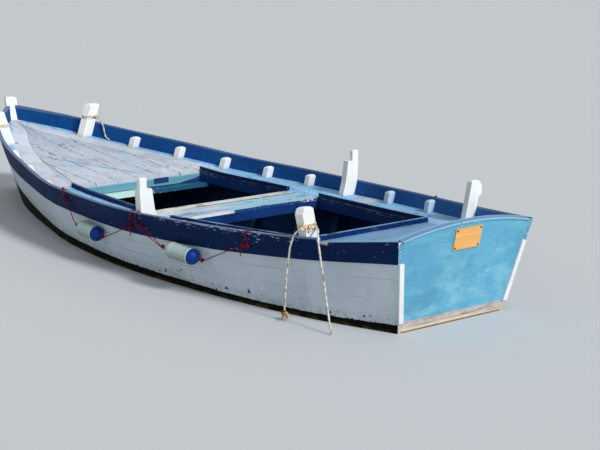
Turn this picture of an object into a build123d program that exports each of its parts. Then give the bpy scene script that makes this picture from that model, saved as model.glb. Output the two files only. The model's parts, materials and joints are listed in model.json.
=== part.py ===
from build123d import *
from collections import namedtuple
from math import acos, cos, degrees, hypot, pi, radians, sin, sqrt, tan
import os

# A half-decked, flat-bottomed, hard-chined wooden rowing boat.
# Millimetres. +X is forward, +Y is port, +Z is up. The origin is on the ground under the middle of the
# boat, which stands on its keel strip and bilge runners.

# Overall sizes
LENGTH = 5250
BEAM = 1745
DEPTH = 561               # from the ground to the lowest point of the sheer
TRANSOM_RAKE = radians(12)
STEM_RAKE = radians(14)

# Planking
SIDE_THICKNESS = 20
BOTTOM_THICKNESS = 22
STRAKE_PROUD = 4          # the sheer strake stands out this far from the side
RUNNER_DEPTH = 20
RUNNER_WIDTH = 45
BILGE_RUNNER_OFFSET = 440
CHINE_LOG = 35
SKEG_THICKNESS = 38
SEAT = 0.3                # clearance between two faces that bear on each other
FIT = 0.85                # the transom is this much narrower still

# Transom
TRANSOM_THICKNESS = 30
TRANSOM_ARCH = 52         # rise of the cap's middle above its ends
CAP_THICKNESS = 12
CAP_OVERHANG = 5
TRIM_WIDTH = 30
TRIM_THICKNESS = 9
TRIM_FOOT = 62            # from the waterline up to the corner trims
BOARD_WIDTH = 190
BOARD_HEIGHT = 121
BOARD_THICKNESS = 8
BOARD_BELOW_CAP = 42      # from the cap's ends down to the name board's middle

# Stem
STEM_SIDING = 34          # width of its front face
STEM_DEPTH = 92           # fore and aft
STEM_HEAD = 62            # above the sheer
STEM_CHAMFER = 12

# Frames and posts
FIRST_FRAME = 600         # from the aft end
FRAME_SPACING = 440
BOW_CLEARANCE = 600       # least room ahead of the last frame
FRAME_SIDING = 45         # fore and aft
FRAME_MOULDING = 52       # athwart
FLOOR_HEIGHT = 48
HEAD_ABOVE_DECK = 74
HEAD_CHAMFER = 10
POST_SIDING = 50
BOW_POST_MOULDING = 80
BOW_POST_HEIGHT = 141     # posts' heights are above the sheer
MIDDLE_POST_MOULDING = 98
MIDDLE_POST_HEIGHT = 205
MIDDLE_POST_SHOULDER = 136
MIDDLE_POST_LEAN = 8      # outward, from the sheer to its shoulder
MIDDLE_POST_TOP = 86      # its moulding at the shoulder
MIDDLE_POST_TENON = 48
MIDDLE_TENON_SIDING = 28
TENON_CHAMFER = 6
QUARTER_POST_MOULDING = 78
QUARTER_POST_HEIGHT = 160
QUARTER_POST_BEVEL = (20, 38)       # in along its top and down its outboard face
QUARTER_POST_EAR = (20, 12)         # the starboard one's head stands out this far, at the ear's foot and top
QUARTER_EAR_ABOVE = 68
QUARTER_EAR_SLOPE = 5
POST_CHAMFER = 9
QUARTER_POST_FRAME = 0    # frames are counted from aft
MIDDLE_POST_FRAME = 3

# Decks, cockpits and what carries them
DECK_THICKNESS = 18
DECK_SEAM = 2
COVERING_WIDTH = 200      # of the covering boards beside the foredeck
FOREDECK_PLANKS = 6
BEAM_SIDING = 32
BEAM_HEIGHT = 56
MAIN_BEAM_FRAME = 6       # the foredeck ends over this frame
BRIDGE_LENGTH = 330
BRIDGE_AHEAD = 50         # from the middle posts' frame to the bridge's aft edge
BRIDGE_FRONT_PLANK = 90
AFT_DECK_AHEAD = 190      # from the quarter posts' frame to the aft cockpit
SIDE_DECK_AT_BEAM = 214   # widths of the side decks
SIDE_DECK_AT_BRIDGE = 248
SIDE_DECK_AT_AFT_DECK = 232
CARLIN_SIDING = 28
CARLIN_HEIGHT = 56
COAMING_HEIGHT = 30
COAMING_THICKNESS = 18
SHELF_WIDTH = 120
SHELF_THICKNESS = 26

# Bottom boards
BOARDS = 5
BOARDS_WIDTH = 130
BOARDS_GAP = 12
BOARDS_THICKNESS = 14

# The port strake's top, lowered behind the quarter post
STRAKE_STEP = 25
STRAKE_STEP_BEHIND = 109  # from the middle of the post

# Fenders and ropes on the port side
FENDER_DIAMETER = 96
FENDER_BODY = 168
FENDER_END = 80           # from the body to the tip of the eye
FENDER_NECK = 30
FENDER_EYE = 10
FENDER_BEVELS = 3         # along each domed end
FENDER_SIDES = 20
LINE_DIAMETER = 6
ROPE_DIAMETER = 12
ROPE_SIDES = 8
KNOT_DIAMETER = 52
LASHING_THICKNESS = 10
QUARTER_LASHING_ABOVE = 30    # above the sheer
QUARTER_LASHING_HEIGHT = 42
BOW_LASHING_ABOVE = 27
BOW_LASHING_HEIGHT = 28

# Hull lines. share: distance from the aft end over the hull's length. sheer and chine: half-breadths
# over half the beam. sheer_rise: above DEPTH. chine_rise: above the middle of the bottom. strake: depth
# of the sheer strake. deck_drop: from the sheer down to the deck.
Row = namedtuple("Row", "share sheer sheer_rise chine chine_rise strake deck_drop")
LINES = [
    Row(0.00, 0.558, 117, 0.390, 78, 124, 78),
    Row(0.14, 0.791, 53, 0.655, 33, 128, 82),
    Row(0.28, 0.930, 20, 0.782, 6, 143, 87),
    Row(0.42, 1.000, 0, 0.832, 0, 140, 92),
    Row(0.56, 0.957, 0, 0.765, 0, 137, 96),
    Row(0.70, 0.794, 46, 0.572, 10, 160, 100),
    Row(0.82, 0.590, 96, 0.374, 43, 178, 102),
    Row(0.92, 0.334, 169, 0.130, 88, 188, 104),
    Row(1.00, -0.058, 249, -0.115, 138, 195, 105),
]
STATIONS = 25
OVERRUN = 60              # the planks are drawn this far past the transom, then trimmed
WATERLINE = 150

CHINE_BASE = RUNNER_DEPTH + BOTTOM_THICKNESS
AFT_END = -LENGTH / 2 + TRANSOM_ARCH * sin(TRANSOM_RAKE) + CAP_OVERHANG * cos(TRANSOM_RAKE)
BOW_END = LENGTH / 2 + STEM_CHAMFER * sin(STEM_RAKE)      # of the head before its edges are taken off
HULL_LENGTH = BOW_END - AFT_END


def slope(column, i):
    """Slope of a column of LINES at row i: none at its highest and lowest rows."""
    last = len(LINES) - 1
    steps = []
    for j in (max(i - 1, 0), min(i, last - 1)):
        rise = getattr(LINES[j + 1], column) - getattr(LINES[j], column)
        steps.append(rise / (LINES[j + 1].share - LINES[j].share))
    below, above = steps
    if below * above <= 0:
        return 0
    return 2 * below * above / (below + above)


def fair(share, column):
    """A column of LINES at a share of the length, on a smooth curve through its rows."""
    last = len(LINES) - 1
    end = 0 if share < LINES[0].share else last
    if share < LINES[0].share or share > LINES[last].share:
        return getattr(LINES[end], column) + slope(column, end) * (share - LINES[end].share)
    i = max(j for j in range(last) if LINES[j].share <= share)
    span = LINES[i + 1].share - LINES[i].share
    t = (share - LINES[i].share) / span
    low = getattr(LINES[i], column) * (1 + 2 * t) + slope(column, i) * span * t
    high = getattr(LINES[i + 1], column) * (3 - 2 * t) - slope(column, i + 1) * span * (1 - t)
    return low * (1 - t) ** 2 + high * t ** 2


# A section across the hull. across: the horizontal thickness of a side plank that is 1 thick.
Section = namedtuple("Section", "x sheer_y sheer_z chine_y chine_z strake deck_drop across")


def fair_section(x):
    """The section of the smooth hull at x."""
    share = (x - AFT_END) / HULL_LENGTH
    sheer_y = fair(share, "sheer") * BEAM / 2
    ahead_y = fair(share + 1 / HULL_LENGTH, "sheer") * BEAM / 2
    sheer_z = DEPTH + fair(share, "sheer_rise")
    chine_y = fair(share, "chine") * BEAM / 2
    chine_z = CHINE_BASE + fair(share, "chine_rise")
    flare = (sheer_y - chine_y) / (sheer_z - chine_z)
    across = hypot(1, flare, ahead_y - sheer_y)
    strake = fair(share, "strake")
    deck_drop = fair(share, "deck_drop")
    return Section(x, sheer_y, sheer_z, chine_y, chine_z, strake, deck_drop, across)


STATION_SPACING = (HULL_LENGTH + OVERRUN) / (STATIONS - 1)
HULL = [fair_section(AFT_END - OVERRUN + i * STATION_SPACING) for i in range(STATIONS)]


def at(x):
    """The section at x of the hull as it is planked, straight from station to station."""
    i = min(max(int((x - HULL[0].x) / STATION_SPACING), 0), STATIONS - 2)
    t = (x - HULL[i].x) / STATION_SPACING
    return Section(*(a + (b - a) * t for a, b in zip(HULL[i], HULL[i + 1])))


def between(start, end):
    """Sections at start and end, and at every station between them."""
    return [at(start)] + [s for s in HULL if start < s.x < end] + [at(end)]


def side(s, z, inset=0.0):
    """Half-breadth of the side at height z, less a thickness measured square to the plank."""
    rise = (z - s.chine_z) / (s.sheer_z - s.chine_z)
    return s.chine_y + (s.sheer_y - s.chine_y) * rise - inset * s.across


def inner(s, z):
    """Half-breadth inside the planking at height z, less the seating clearance."""
    return side(s, z, SIDE_THICKNESS) - SEAT


def deck_z(s):
    """Height of the deck's top."""
    return s.sheer_z - s.deck_drop


# The transom's aft face, with local Y up it from the cap's ends, and the stem's aft face, with local Y
# up it from the top of the head. Both have their Z axis pointing forward.
TRANSOM_TOP = fair_section(AFT_END).sheer_z
TRANSOM_NORMAL = (cos(TRANSOM_RAKE), 0, sin(TRANSOM_RAKE))
TRANSOM_FACE = Plane(origin=(AFT_END, 0, TRANSOM_TOP), x_dir=(0, 1, 0), z_dir=TRANSOM_NORMAL)
HEAD_TOP = fair_section(BOW_END - STEM_DEPTH).sheer_z + STEM_HEAD
STEM_BACK = BOW_END - STEM_DEPTH / cos(STEM_RAKE)
STEM_NORMAL = (cos(STEM_RAKE), 0, -sin(STEM_RAKE))
STEM_FACE = Plane(origin=(STEM_BACK, 0, HEAD_TOP), x_dir=(0, 1, 0), z_dir=STEM_NORMAL)


def transom_x(z, ahead=0):
    """Where the transom's aft face is at height z, or a face this far ahead of it."""
    return AFT_END + (TRANSOM_TOP - z) * tan(TRANSOM_RAKE) + ahead / cos(TRANSOM_RAKE)


def stem_x(z):
    """Where the stem's aft face is at height z."""
    return STEM_BACK - (HEAD_TOP - z) * tan(STEM_RAKE)


CENTRE_PLANE = Plane(origin=(0, SEAT / 2, 0), x_dir=(1, 0, 0), z_dir=(0, 1, 0))      # faces port
STEM_FOOT_X = stem_x(fair_section(stem_x(WATERLINE)).chine_z)
FOOT = at(STEM_FOOT_X)
FRAMES = []
frame_x = AFT_END + FIRST_FRAME
while frame_x <= BOW_END - BOW_CLEARANCE:
    FRAMES.append(frame_x)
    frame_x += FRAME_SPACING
BOW_POST_FRAME = len(FRAMES) - 1
MAIN_BEAM_X = FRAMES[MAIN_BEAM_FRAME] + POST_SIDING / 2 + SEAT      # the beam's aft face
BRIDGE_AFT_X = FRAMES[MIDDLE_POST_FRAME] + BRIDGE_AHEAD
BRIDGE_FORE_X = BRIDGE_AFT_X + BRIDGE_LENGTH
AFT_DECK_X = FRAMES[QUARTER_POST_FRAME] + AFT_DECK_AHEAD


def long_piece(outline, sections):
    """A piece that runs fore and aft. outline(section) gives its corners as (y, z)."""
    with BuildPart() as piece:
        for s in sections:
            with BuildSketch(Plane(origin=(s.x, 0, 0), x_dir=(0, 1, 0), z_dir=(1, 0, 0))):
                with BuildLine():
                    Polyline(*outline(s), close=True)
                make_face()
        loft(ruled=True)
    return piece


def strip(y_low, y_high, z_low, z_high):
    """Corners of a rectangle."""
    return [(y_low, z_low), (y_high, z_low), (y_high, z_high), (y_low, z_high)]


def mirrored(piece):
    """The starboard twin of a port piece."""
    with BuildPart() as twin:
        add(piece.part.mirror(Plane.XZ))
    return twin


def save(name, piece):
    """Label a finished piece and write it."""
    piece.part.label = name
    export_step(piece.part, f"parts/{name}.step")


os.makedirs("parts", exist_ok=True)


# Bottom planking, between the chines, from the transom to the stem
def bottom_outline(s):
    return strip(-s.chine_y, s.chine_y, s.chine_z - BOTTOM_THICKNESS, s.chine_z)


with BuildPart() as bottom_planks:
    add(long_piece(bottom_outline, between(HULL[0].x, STEM_FOOT_X + STEM_DEPTH)).part)
    split(bisect_by=TRANSOM_FACE, keep=Keep.TOP)
    split(bisect_by=STEM_FACE, keep=Keep.BOTTOM)
save("bottom_planks", bottom_planks)


# Side planking, from the chine to the sheer strake
def side_outline(s):
    low, high = s.chine_z + SEAT, s.sheer_z - s.strake - SEAT
    return [(side(s, low), low), (side(s, high), high),
            (side(s, high, SIDE_THICKNESS), high), (side(s, low, SIDE_THICKNESS), low)]


with BuildPart() as port_side_planks:
    add(long_piece(side_outline, HULL).part)
    split(bisect_by=TRANSOM_FACE, keep=Keep.TOP)
    split(bisect_by=STEM_FACE.offset(-SEAT), keep=Keep.BOTTOM)
    split(bisect_by=CENTRE_PLANE, keep=Keep.TOP)
save("port_side_planks", port_side_planks)
save("starboard_side_planks", mirrored(port_side_planks))


# Sheer strake, which is also the bulwark
def strake_outline(s):
    low, high = s.sheer_z - s.strake, s.sheer_z
    return [(side(s, low) + STRAKE_PROUD, low), (side(s, high) + STRAKE_PROUD, high),
            (side(s, high, SIDE_THICKNESS), high), (side(s, low, SIDE_THICKNESS), low)]


with BuildPart() as port_sheer_strake:
    add(long_piece(strake_outline, HULL).part)
    split(bisect_by=TRANSOM_FACE, keep=Keep.TOP)
    split(bisect_by=STEM_FACE.offset(-SEAT), keep=Keep.BOTTOM)
    split(bisect_by=CENTRE_PLANE, keep=Keep.TOP)
save("starboard_sheer_strake", mirrored(port_sheer_strake))

STEP_X = FRAMES[QUARTER_POST_FRAME] - STRAKE_STEP_BEHIND


def step_outline(s):
    low = s.sheer_z - STRAKE_STEP * (s.x - AFT_END) / (STEP_X - AFT_END)
    return strip(s.sheer_y - 2 * SIDE_THICKNESS, s.sheer_y + 2 * SIDE_THICKNESS, low, s.sheer_z + STRAKE_STEP)


with port_sheer_strake:
    add(long_piece(step_outline, between(AFT_END, STEP_X)).part, mode=Mode.SUBTRACT)
save("port_sheer_strake", port_sheer_strake)


# Chine logs, in the corner between bottom and side
CHINE_LOG_END = FRAMES[BOW_POST_FRAME] + FRAME_SIDING


def chine_log_outline(s):
    low = s.chine_z + SEAT
    high = low + CHINE_LOG
    edge = inner(s, low) - CHINE_LOG
    return [(edge, low), (inner(s, low), low), (inner(s, high), high), (edge, high)]


with BuildPart() as port_chine_log:
    add(long_piece(chine_log_outline, between(HULL[0].x, CHINE_LOG_END)).part)
    split(bisect_by=TRANSOM_FACE.offset(TRANSOM_THICKNESS + SEAT), keep=Keep.TOP)
save("port_chine_log", port_chine_log)
save("starboard_chine_log", mirrored(port_chine_log))

# Keel strip, bilge runners and skeg, under the bottom
SKEG_START = AFT_END + 0.28 * HULL_LENGTH
RUNNER_AFT = AFT_END + 0.18 * HULL_LENGTH
RUNNER_FORE = AFT_END + 0.66 * HULL_LENGTH


def runner_outline(offset):
    def outline(s):
        top = s.chine_z - BOTTOM_THICKNESS
        return strip(offset - RUNNER_WIDTH / 2, offset + RUNNER_WIDTH / 2, top - RUNNER_DEPTH, top)
    return outline


def skeg_outline(s):
    return strip(-SKEG_THICKNESS / 2, SKEG_THICKNESS / 2, 0, s.chine_z - BOTTOM_THICKNESS)


keel_strip = long_piece(runner_outline(0), between(SKEG_START + SEAT, STEM_FOOT_X))
save("keel_strip", keel_strip)

port_bilge_runner = long_piece(runner_outline(BILGE_RUNNER_OFFSET), between(RUNNER_AFT, RUNNER_FORE))
save("port_bilge_runner", port_bilge_runner)
save("starboard_bilge_runner", mirrored(port_bilge_runner))

with BuildPart() as skeg:
    add(long_piece(skeg_outline, between(HULL[0].x, SKEG_START)).part)
    split(bisect_by=TRANSOM_FACE, keep=Keep.TOP)
save("skeg", skeg)

# Stem: a raked post, wide at the rabbet and narrow in front, with a chamfered head
STEM_FOOT_Z = FOOT.chine_z - BOTTOM_THICKNESS
with BuildPart() as stem:
    for z in (STEM_FOOT_Z, HEAD_TOP):
        back = stem_x(z)
        half = side(at(stem_x(min(z, HEAD_TOP - STEM_HEAD))), min(z, HEAD_TOP - STEM_HEAD))
        half = max(half, STEM_SIDING / 2 + STEM_CHAMFER)
        front = back + STEM_DEPTH / cos(STEM_RAKE)
        with BuildSketch(Plane.XY.offset(z)):
            with BuildLine():
                Polyline((back, half), (front, STEM_SIDING / 2),
                         (front, -STEM_SIDING / 2), (back, -half), close=True)
            make_face()
    loft(ruled=True)
    chamfer(stem.faces().sort_by(Axis.Z)[-1].edges(), STEM_CHAMFER)
save("stem", stem)

# Transom: lofted from its aft face to its forward face, so that its edges follow the flare
TRANSOM_DROP = (TRANSOM_TOP - at(transom_x(CHINE_BASE + LINES[0].chine_rise)).chine_z) / cos(TRANSOM_RAKE)


def transom_half(up, ahead):
    """Half-breadth inside the planking, up the transom's face from the cap's ends."""
    z = TRANSOM_TOP + up * cos(TRANSOM_RAKE)
    return inner(at(transom_x(z, ahead)), z)


CAP_HALF = transom_half(-2 * CAP_THICKNESS, 0) - FIT
CAP_RADIUS = (CAP_HALF ** 2 + TRANSOM_ARCH ** 2) / (2 * TRANSOM_ARCH)
CAP_CENTRE = (0, TRANSOM_ARCH - CAP_RADIUS)

with BuildPart() as transom:
    for ahead in (0, TRANSOM_THICKNESS):
        foot = -TRANSOM_DROP + 2 * SEAT + ahead * tan(TRANSOM_RAKE)
        half_foot = transom_half(foot, ahead) - FIT
        half_top = transom_half(0, ahead) - FIT
        with BuildSketch(TRANSOM_FACE.offset(ahead)):
            with BuildLine():
                Polyline((half_top, 0), (half_foot, foot), (-half_foot, foot), (-half_top, 0),
                         (-half_top, TRANSOM_ARCH), (half_top, TRANSOM_ARCH), close=True)
            make_face()
    loft(ruled=True)
    with BuildSketch(TRANSOM_FACE):
        with Locations(CAP_CENTRE):
            Circle(CAP_RADIUS - CAP_THICKNESS - SEAT)
    extrude(amount=TRANSOM_THICKNESS, mode=Mode.INTERSECT)
save("transom", transom)

# Cap along the transom's arched top
with BuildPart() as transom_cap:
    with BuildSketch(TRANSOM_FACE.offset(-CAP_OVERHANG)):
        with Locations(CAP_CENTRE):
            Circle(CAP_RADIUS)
            Circle(CAP_RADIUS - CAP_THICKNESS, mode=Mode.SUBTRACT)
        Rectangle(2 * CAP_HALF, 2 * TRANSOM_ARCH + 2 * CAP_THICKNESS, mode=Mode.INTERSECT)
    extrude(amount=TRANSOM_THICKNESS + 2 * CAP_OVERHANG)
save("transom_cap", transom_cap)

# Corner trims on the transom's edges, from the boot-top up to the sheer strake
TRIM_TOP = -LINES[0].strake / cos(TRANSOM_RAKE)
TRIM_LOW = -(TRANSOM_TOP - WATERLINE - TRIM_FOOT) / cos(TRANSOM_RAKE)


def transom_edge(up):
    """Half-breadth outside the planking, up the transom's face from the cap's ends."""
    z = TRANSOM_TOP + up * cos(TRANSOM_RAKE)
    return side(at(transom_x(z)), z)


with BuildPart() as port_corner_trim:
    with BuildSketch(TRANSOM_FACE.offset(-TRIM_THICKNESS)):
        with BuildLine():
            Polyline((transom_edge(TRIM_TOP), TRIM_TOP), (transom_edge(TRIM_LOW), TRIM_LOW),
                     (transom_edge(TRIM_LOW) - TRIM_WIDTH, TRIM_LOW),
                     (transom_edge(TRIM_TOP) - TRIM_WIDTH, TRIM_TOP), close=True)
        make_face()
    extrude(amount=TRIM_THICKNESS)
save("port_corner_trim", port_corner_trim)
save("starboard_corner_trim", mirrored(port_corner_trim))

# Blank name board, on the transom
with BuildPart() as name_board:
    with BuildSketch(TRANSOM_FACE.offset(-BOARD_THICKNESS)):
        with Locations((0, -BOARD_BELOW_CAP / cos(TRANSOM_RAKE))):
            Rectangle(BOARD_WIDTH, BOARD_HEIGHT)
    extrude(amount=BOARD_THICKNESS)
save("name_board", name_board)


# Frames: a floor timber across the bottom at each, and a side timber whose head stands through the deck
def timber(x, siding, moulding, foot, head):
    """A port side timber at x. foot(section) and head(section) give its lowest and highest z."""
    def outline(s):
        low, high = foot(s), head(s)
        return [(inner(s, low), low), (inner(s, high), high),
                (inner(s, high) - moulding, high), (inner(s, low) - moulding, low)]
    return long_piece(outline, [at(x - siding / 2), at(x + siding / 2)])


def timber_foot(s):
    return s.chine_z + max(CHINE_LOG, FLOOR_HEIGHT) + 3 * SEAT


def above_sheer(height):
    """A head that stands this far above the sheer."""
    return lambda s: s.sheer_z + height


def post(i, moulding, height):
    """A frame's side timber that stands this far above the sheer."""
    return timber(FRAMES[i], POST_SIDING, moulding, timber_foot, above_sheer(height)).part


def headed_timber(x):
    """A side timber with a short chamfered head above the deck."""
    with BuildPart() as piece:
        add(timber(x, FRAME_SIDING, FRAME_MOULDING, timber_foot, lambda s: deck_z(s) + HEAD_ABOVE_DECK).part)
        chamfer(piece.faces().sort_by(Axis.Z)[-1].edges(), HEAD_CHAMFER)
    return piece


POSTS = {QUARTER_POST_FRAME, MIDDLE_POST_FRAME, BOW_POST_FRAME}
with BuildPart() as port_frames:
    for i, x in enumerate(FRAMES):
        if i not in POSTS:
            add(headed_timber(x).part)
save("port_frames", port_frames)
save("starboard_frames", mirrored(port_frames))

with BuildPart() as floor_timbers:
    for x in FRAMES:
        def floor_outline(s):
            low, high = s.chine_z + SEAT, s.chine_z + SEAT + FLOOR_HEIGHT
            half = inner(s, low) - CHINE_LOG - SEAT
            return strip(-half, half, low, high)
        add(long_piece(floor_outline, [at(x - FRAME_SIDING / 2), at(x + FRAME_SIDING / 2)]).part)
save("floor_timbers", floor_timbers)

# Bow posts: frame heads that stand high and end in a chamfered top
with BuildPart() as port_bow_post:
    add(post(BOW_POST_FRAME, BOW_POST_MOULDING, BOW_POST_HEIGHT))
    chamfer(port_bow_post.faces().sort_by(Axis.Z)[-1].edges(), POST_CHAMFER)
save("port_bow_post", port_bow_post)
save("starboard_bow_post", mirrored(port_bow_post))


# Middle posts: nearly upright above the sheer, with a tenon on top, stepped inboard and forward
def middle_post_outline(s):
    foot, sheer, shoulder = timber_foot(s), s.sheer_z, s.sheer_z + MIDDLE_POST_SHOULDER
    top = inner(s, sheer) + MIDDLE_POST_LEAN
    return [(inner(s, foot), foot), (inner(s, sheer), sheer), (top, shoulder),
            (top - MIDDLE_POST_TOP, shoulder), (inner(s, sheer) - MIDDLE_POST_MOULDING, sheer),
            (inner(s, foot) - MIDDLE_POST_MOULDING, foot)]


def tenon_outline(s):
    outboard = inner(s, s.sheer_z) + MIDDLE_POST_LEAN - 2
    return strip(outboard - MIDDLE_POST_TENON, outboard, s.sheer_z + MIDDLE_POST_SHOULDER - MIDDLE_POST_TOP / 4,
                 s.sheer_z + MIDDLE_POST_HEIGHT)


with BuildPart() as port_middle_post:
    aft_face = FRAMES[MIDDLE_POST_FRAME] - POST_SIDING / 2
    add(long_piece(middle_post_outline, [at(aft_face), at(aft_face + POST_SIDING)]).part)
    add(long_piece(tenon_outline, [at(aft_face), at(aft_face + MIDDLE_TENON_SIDING)]).part)
    chamfer(port_middle_post.faces().sort_by(Axis.Z)[-1].edges(), TENON_CHAMFER)
save("port_middle_post", port_middle_post)
save("starboard_middle_post", mirrored(port_middle_post))


# Quarter posts: the top slopes down outboard, and the starboard one has an ear under it
def quarter_outline(s):
    low, high = timber_foot(s), s.sheer_z + QUARTER_POST_HEIGHT
    inward, down = QUARTER_POST_BEVEL
    return [(inner(s, low), low), (inner(s, high - down), high - down), (inner(s, high) - inward, high),
            (inner(s, high) - QUARTER_POST_MOULDING, high), (inner(s, low) - QUARTER_POST_MOULDING, low)]


def eared_outline(s):
    foot, *top = quarter_outline(s)
    low, high = s.sheer_z + QUARTER_EAR_ABOVE, top[0][1]
    at_foot, at_top = QUARTER_POST_EAR
    ear = [(inner(s, low), low), (inner(s, low) + at_foot, low + QUARTER_EAR_SLOPE),
           (inner(s, high) + at_top, high)]
    return [foot] + ear + top[1:]


def quarter_post(outline):
    """A port quarter post."""
    faces = [FRAMES[QUARTER_POST_FRAME] + e * POST_SIDING / 2 for e in (-1, 1)]
    with BuildPart() as piece:
        add(long_piece(outline, [at(x) for x in faces]).part)
        chamfer(piece.faces().sort_by(Axis.Z)[-1].edges(), POST_CHAMFER)
    return piece


port_quarter_post = quarter_post(quarter_outline)
save("port_quarter_post", port_quarter_post)
save("starboard_quarter_post", mirrored(quarter_post(eared_outline)))


# The deck: one thin blank over the whole hull, cut along the inner line into its boards
def deck_outline(s):
    high, low = deck_z(s), deck_z(s) - DECK_THICKNESS
    return [(-inner(s, high), high), (inner(s, high), high), (inner(s, low), low), (-inner(s, low), low)]


DECK_BOW_X = stem_x(deck_z(at(stem_x(HEAD_TOP - STEM_HEAD))))
with BuildPart() as deck_blank:
    add(long_piece(deck_outline, between(HULL[0].x, DECK_BOW_X)).part)
    split(bisect_by=TRANSOM_FACE.offset(TRANSOM_THICKNESS + SEAT), keep=Keep.TOP)
    split(bisect_by=STEM_FACE.offset(-SEAT), keep=Keep.BOTTOM)


def margin(s):
    """Half-width of the planked foredeck."""
    return max(inner(s, deck_z(s)) - COVERING_WIDTH, DECK_SEAM)


AFT_DECK_END = transom_x(deck_z(at(AFT_END)), TRANSOM_THICKNESS)

def opening(x, side_deck):
    """Half-width left open by side decks this wide."""
    return inner(at(x), deck_z(at(x))) - side_deck


OPENING_AT_BEAM = opening(MAIN_BEAM_X, SIDE_DECK_AT_BEAM)
OPENING_AT_BRIDGE = opening(BRIDGE_AFT_X, SIDE_DECK_AT_BRIDGE)
OPENING_AT_AFT_DECK = opening(AFT_DECK_X, SIDE_DECK_AT_AFT_DECK)
AFT_TAPER = (OPENING_AT_BRIDGE - OPENING_AT_AFT_DECK) / (BRIDGE_AFT_X - AFT_DECK_X)
INNER_LINE = [
    (AFT_DECK_END - OVERRUN, OPENING_AT_AFT_DECK - AFT_TAPER * (AFT_DECK_X - AFT_DECK_END + OVERRUN)),
    (AFT_DECK_X, OPENING_AT_AFT_DECK),
    (BRIDGE_AFT_X, OPENING_AT_BRIDGE),
    (BRIDGE_FORE_X, OPENING_AT_BRIDGE),
    (MAIN_BEAM_X, OPENING_AT_BEAM),
] + [(s.x, margin(s)) for s in HULL if MAIN_BEAM_X + STATION_SPACING / 2 < s.x < DECK_BOW_X]


def inner_line(x):
    """Half-width inside the covering boards."""
    for (x_low, y_low), (x_high, y_high) in zip(INNER_LINE, INNER_LINE[1:]):
        if x <= x_high:
            return y_low + (y_high - y_low) * (x - x_low) / (x_high - x_low)
    return INNER_LINE[-1][1]


def middle(start, end, gap=0.0):
    """A tall block over what lies inside the covering boards from start to end."""
    knots = [(x, y) for x, y in INNER_LINE if start < x < end]
    knots = [(start, inner_line(start))] + knots + [(end, inner_line(end))]
    right = [(x, y - gap) for x, y in knots]
    with BuildPart() as block:
        with BuildSketch():
            with BuildLine():
                Polyline(*right, *[(x, -y) for x, y in reversed(right)], close=True)
            make_face()
        extrude(amount=2 * DEPTH)
    return block


FOREDECK_TIP_X = INNER_LINE[-1][0]
WHOLE_MIDDLE = middle(AFT_DECK_END - OVERRUN, FOREDECK_TIP_X)


def notch(x, siding, moulding):
    """A hole through the port covering board for a frame's head."""
    z = deck_z(at(x))
    ends = [at(x - siding / 2), at(x + siding / 2)]
    edge = min(inner(s, deck_z(s) - DECK_THICKNESS) for s in ends) - moulding - DECK_SEAM
    with BuildPart() as hole:
        with BuildSketch(Plane.XY.offset(z - 2 * DECK_THICKNESS)):
            with Locations((x, edge)):
                depth = 2 * moulding + 2 * DECK_THICKNESS
                Rectangle(siding + DECK_SEAM, depth, align=(Align.CENTER, Align.MIN))
        extrude(amount=3 * DECK_THICKNESS)
    return hole


HEADS = {BOW_POST_FRAME: BOW_POST_MOULDING, MIDDLE_POST_FRAME: MIDDLE_POST_MOULDING,
         QUARTER_POST_FRAME: QUARTER_POST_MOULDING}
with BuildPart() as port_covering_board:
    add(deck_blank.part)
    add(WHOLE_MIDDLE.part, mode=Mode.SUBTRACT)
    split(bisect_by=Plane.XZ.offset(-DECK_SEAM / 2), keep=Keep.BOTTOM)
    for i, x in enumerate(FRAMES):
        siding = POST_SIDING if i in POSTS else FRAME_SIDING
        add(notch(x, siding, HEADS.get(i, FRAME_MOULDING)).part, mode=Mode.SUBTRACT)
save("port_covering_board", port_covering_board)
save("starboard_covering_board", mirrored(port_covering_board))

# Foredeck: planks that run fore and aft, with open seams
with BuildPart() as foredeck_planks:
    add(deck_blank.part)
    add(middle(MAIN_BEAM_X, FOREDECK_TIP_X - DECK_SEAM, DECK_SEAM).part, mode=Mode.INTERSECT)
    plank = 2 * OPENING_AT_BEAM / FOREDECK_PLANKS
    seams = [plank * (i - FOREDECK_PLANKS / 2) for i in range(1, FOREDECK_PLANKS)]
    with Locations(*[(MAIN_BEAM_X, y, DEPTH / 2) for y in seams]):
        Box(LENGTH, DECK_SEAM, DEPTH, align=(Align.MIN, Align.CENTER, Align.MIN), mode=Mode.SUBTRACT)
save("foredeck_planks", foredeck_planks)

# Bridge between the cockpits, which is also the rowing seat: a narrow plank and a wide one, athwart
with BuildPart() as bridge_planks:
    add(deck_blank.part)
    add(middle(BRIDGE_AFT_X, BRIDGE_FORE_X, DECK_SEAM).part, mode=Mode.INTERSECT)
    with Locations((BRIDGE_FORE_X - BRIDGE_FRONT_PLANK, 0, DEPTH / 2)):
        Box(DECK_SEAM, BEAM, DEPTH, align=(Align.CENTER, Align.CENTER, Align.MIN), mode=Mode.SUBTRACT)
save("bridge_planks", bridge_planks)

with BuildPart() as aft_deck:
    add(deck_blank.part)
    add(middle(AFT_DECK_END - OVERRUN, AFT_DECK_X, DECK_SEAM).part, mode=Mode.INTERSECT)
save("aft_deck", aft_deck)


# Beams under the deck, from side to side
def deck_beam(x):
    """A beam whose aft face is at x."""
    def outline(s):
        high = deck_z(at(x)) - DECK_THICKNESS - SEAT
        high = min(high, deck_z(at(x + BEAM_SIDING)) - DECK_THICKNESS - SEAT)
        low = high - BEAM_HEIGHT
        return [(-inner(s, low), low), (-inner(s, high), high), (inner(s, high), high), (inner(s, low), low)]
    return long_piece(outline, [at(x), at(x + BEAM_SIDING)])


with BuildPart() as foredeck_beams:
    for i in range(MAIN_BEAM_FRAME, BOW_POST_FRAME + 1):
        add(deck_beam(FRAMES[i] + POST_SIDING / 2 + SEAT).part)
save("foredeck_beams", foredeck_beams)

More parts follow.
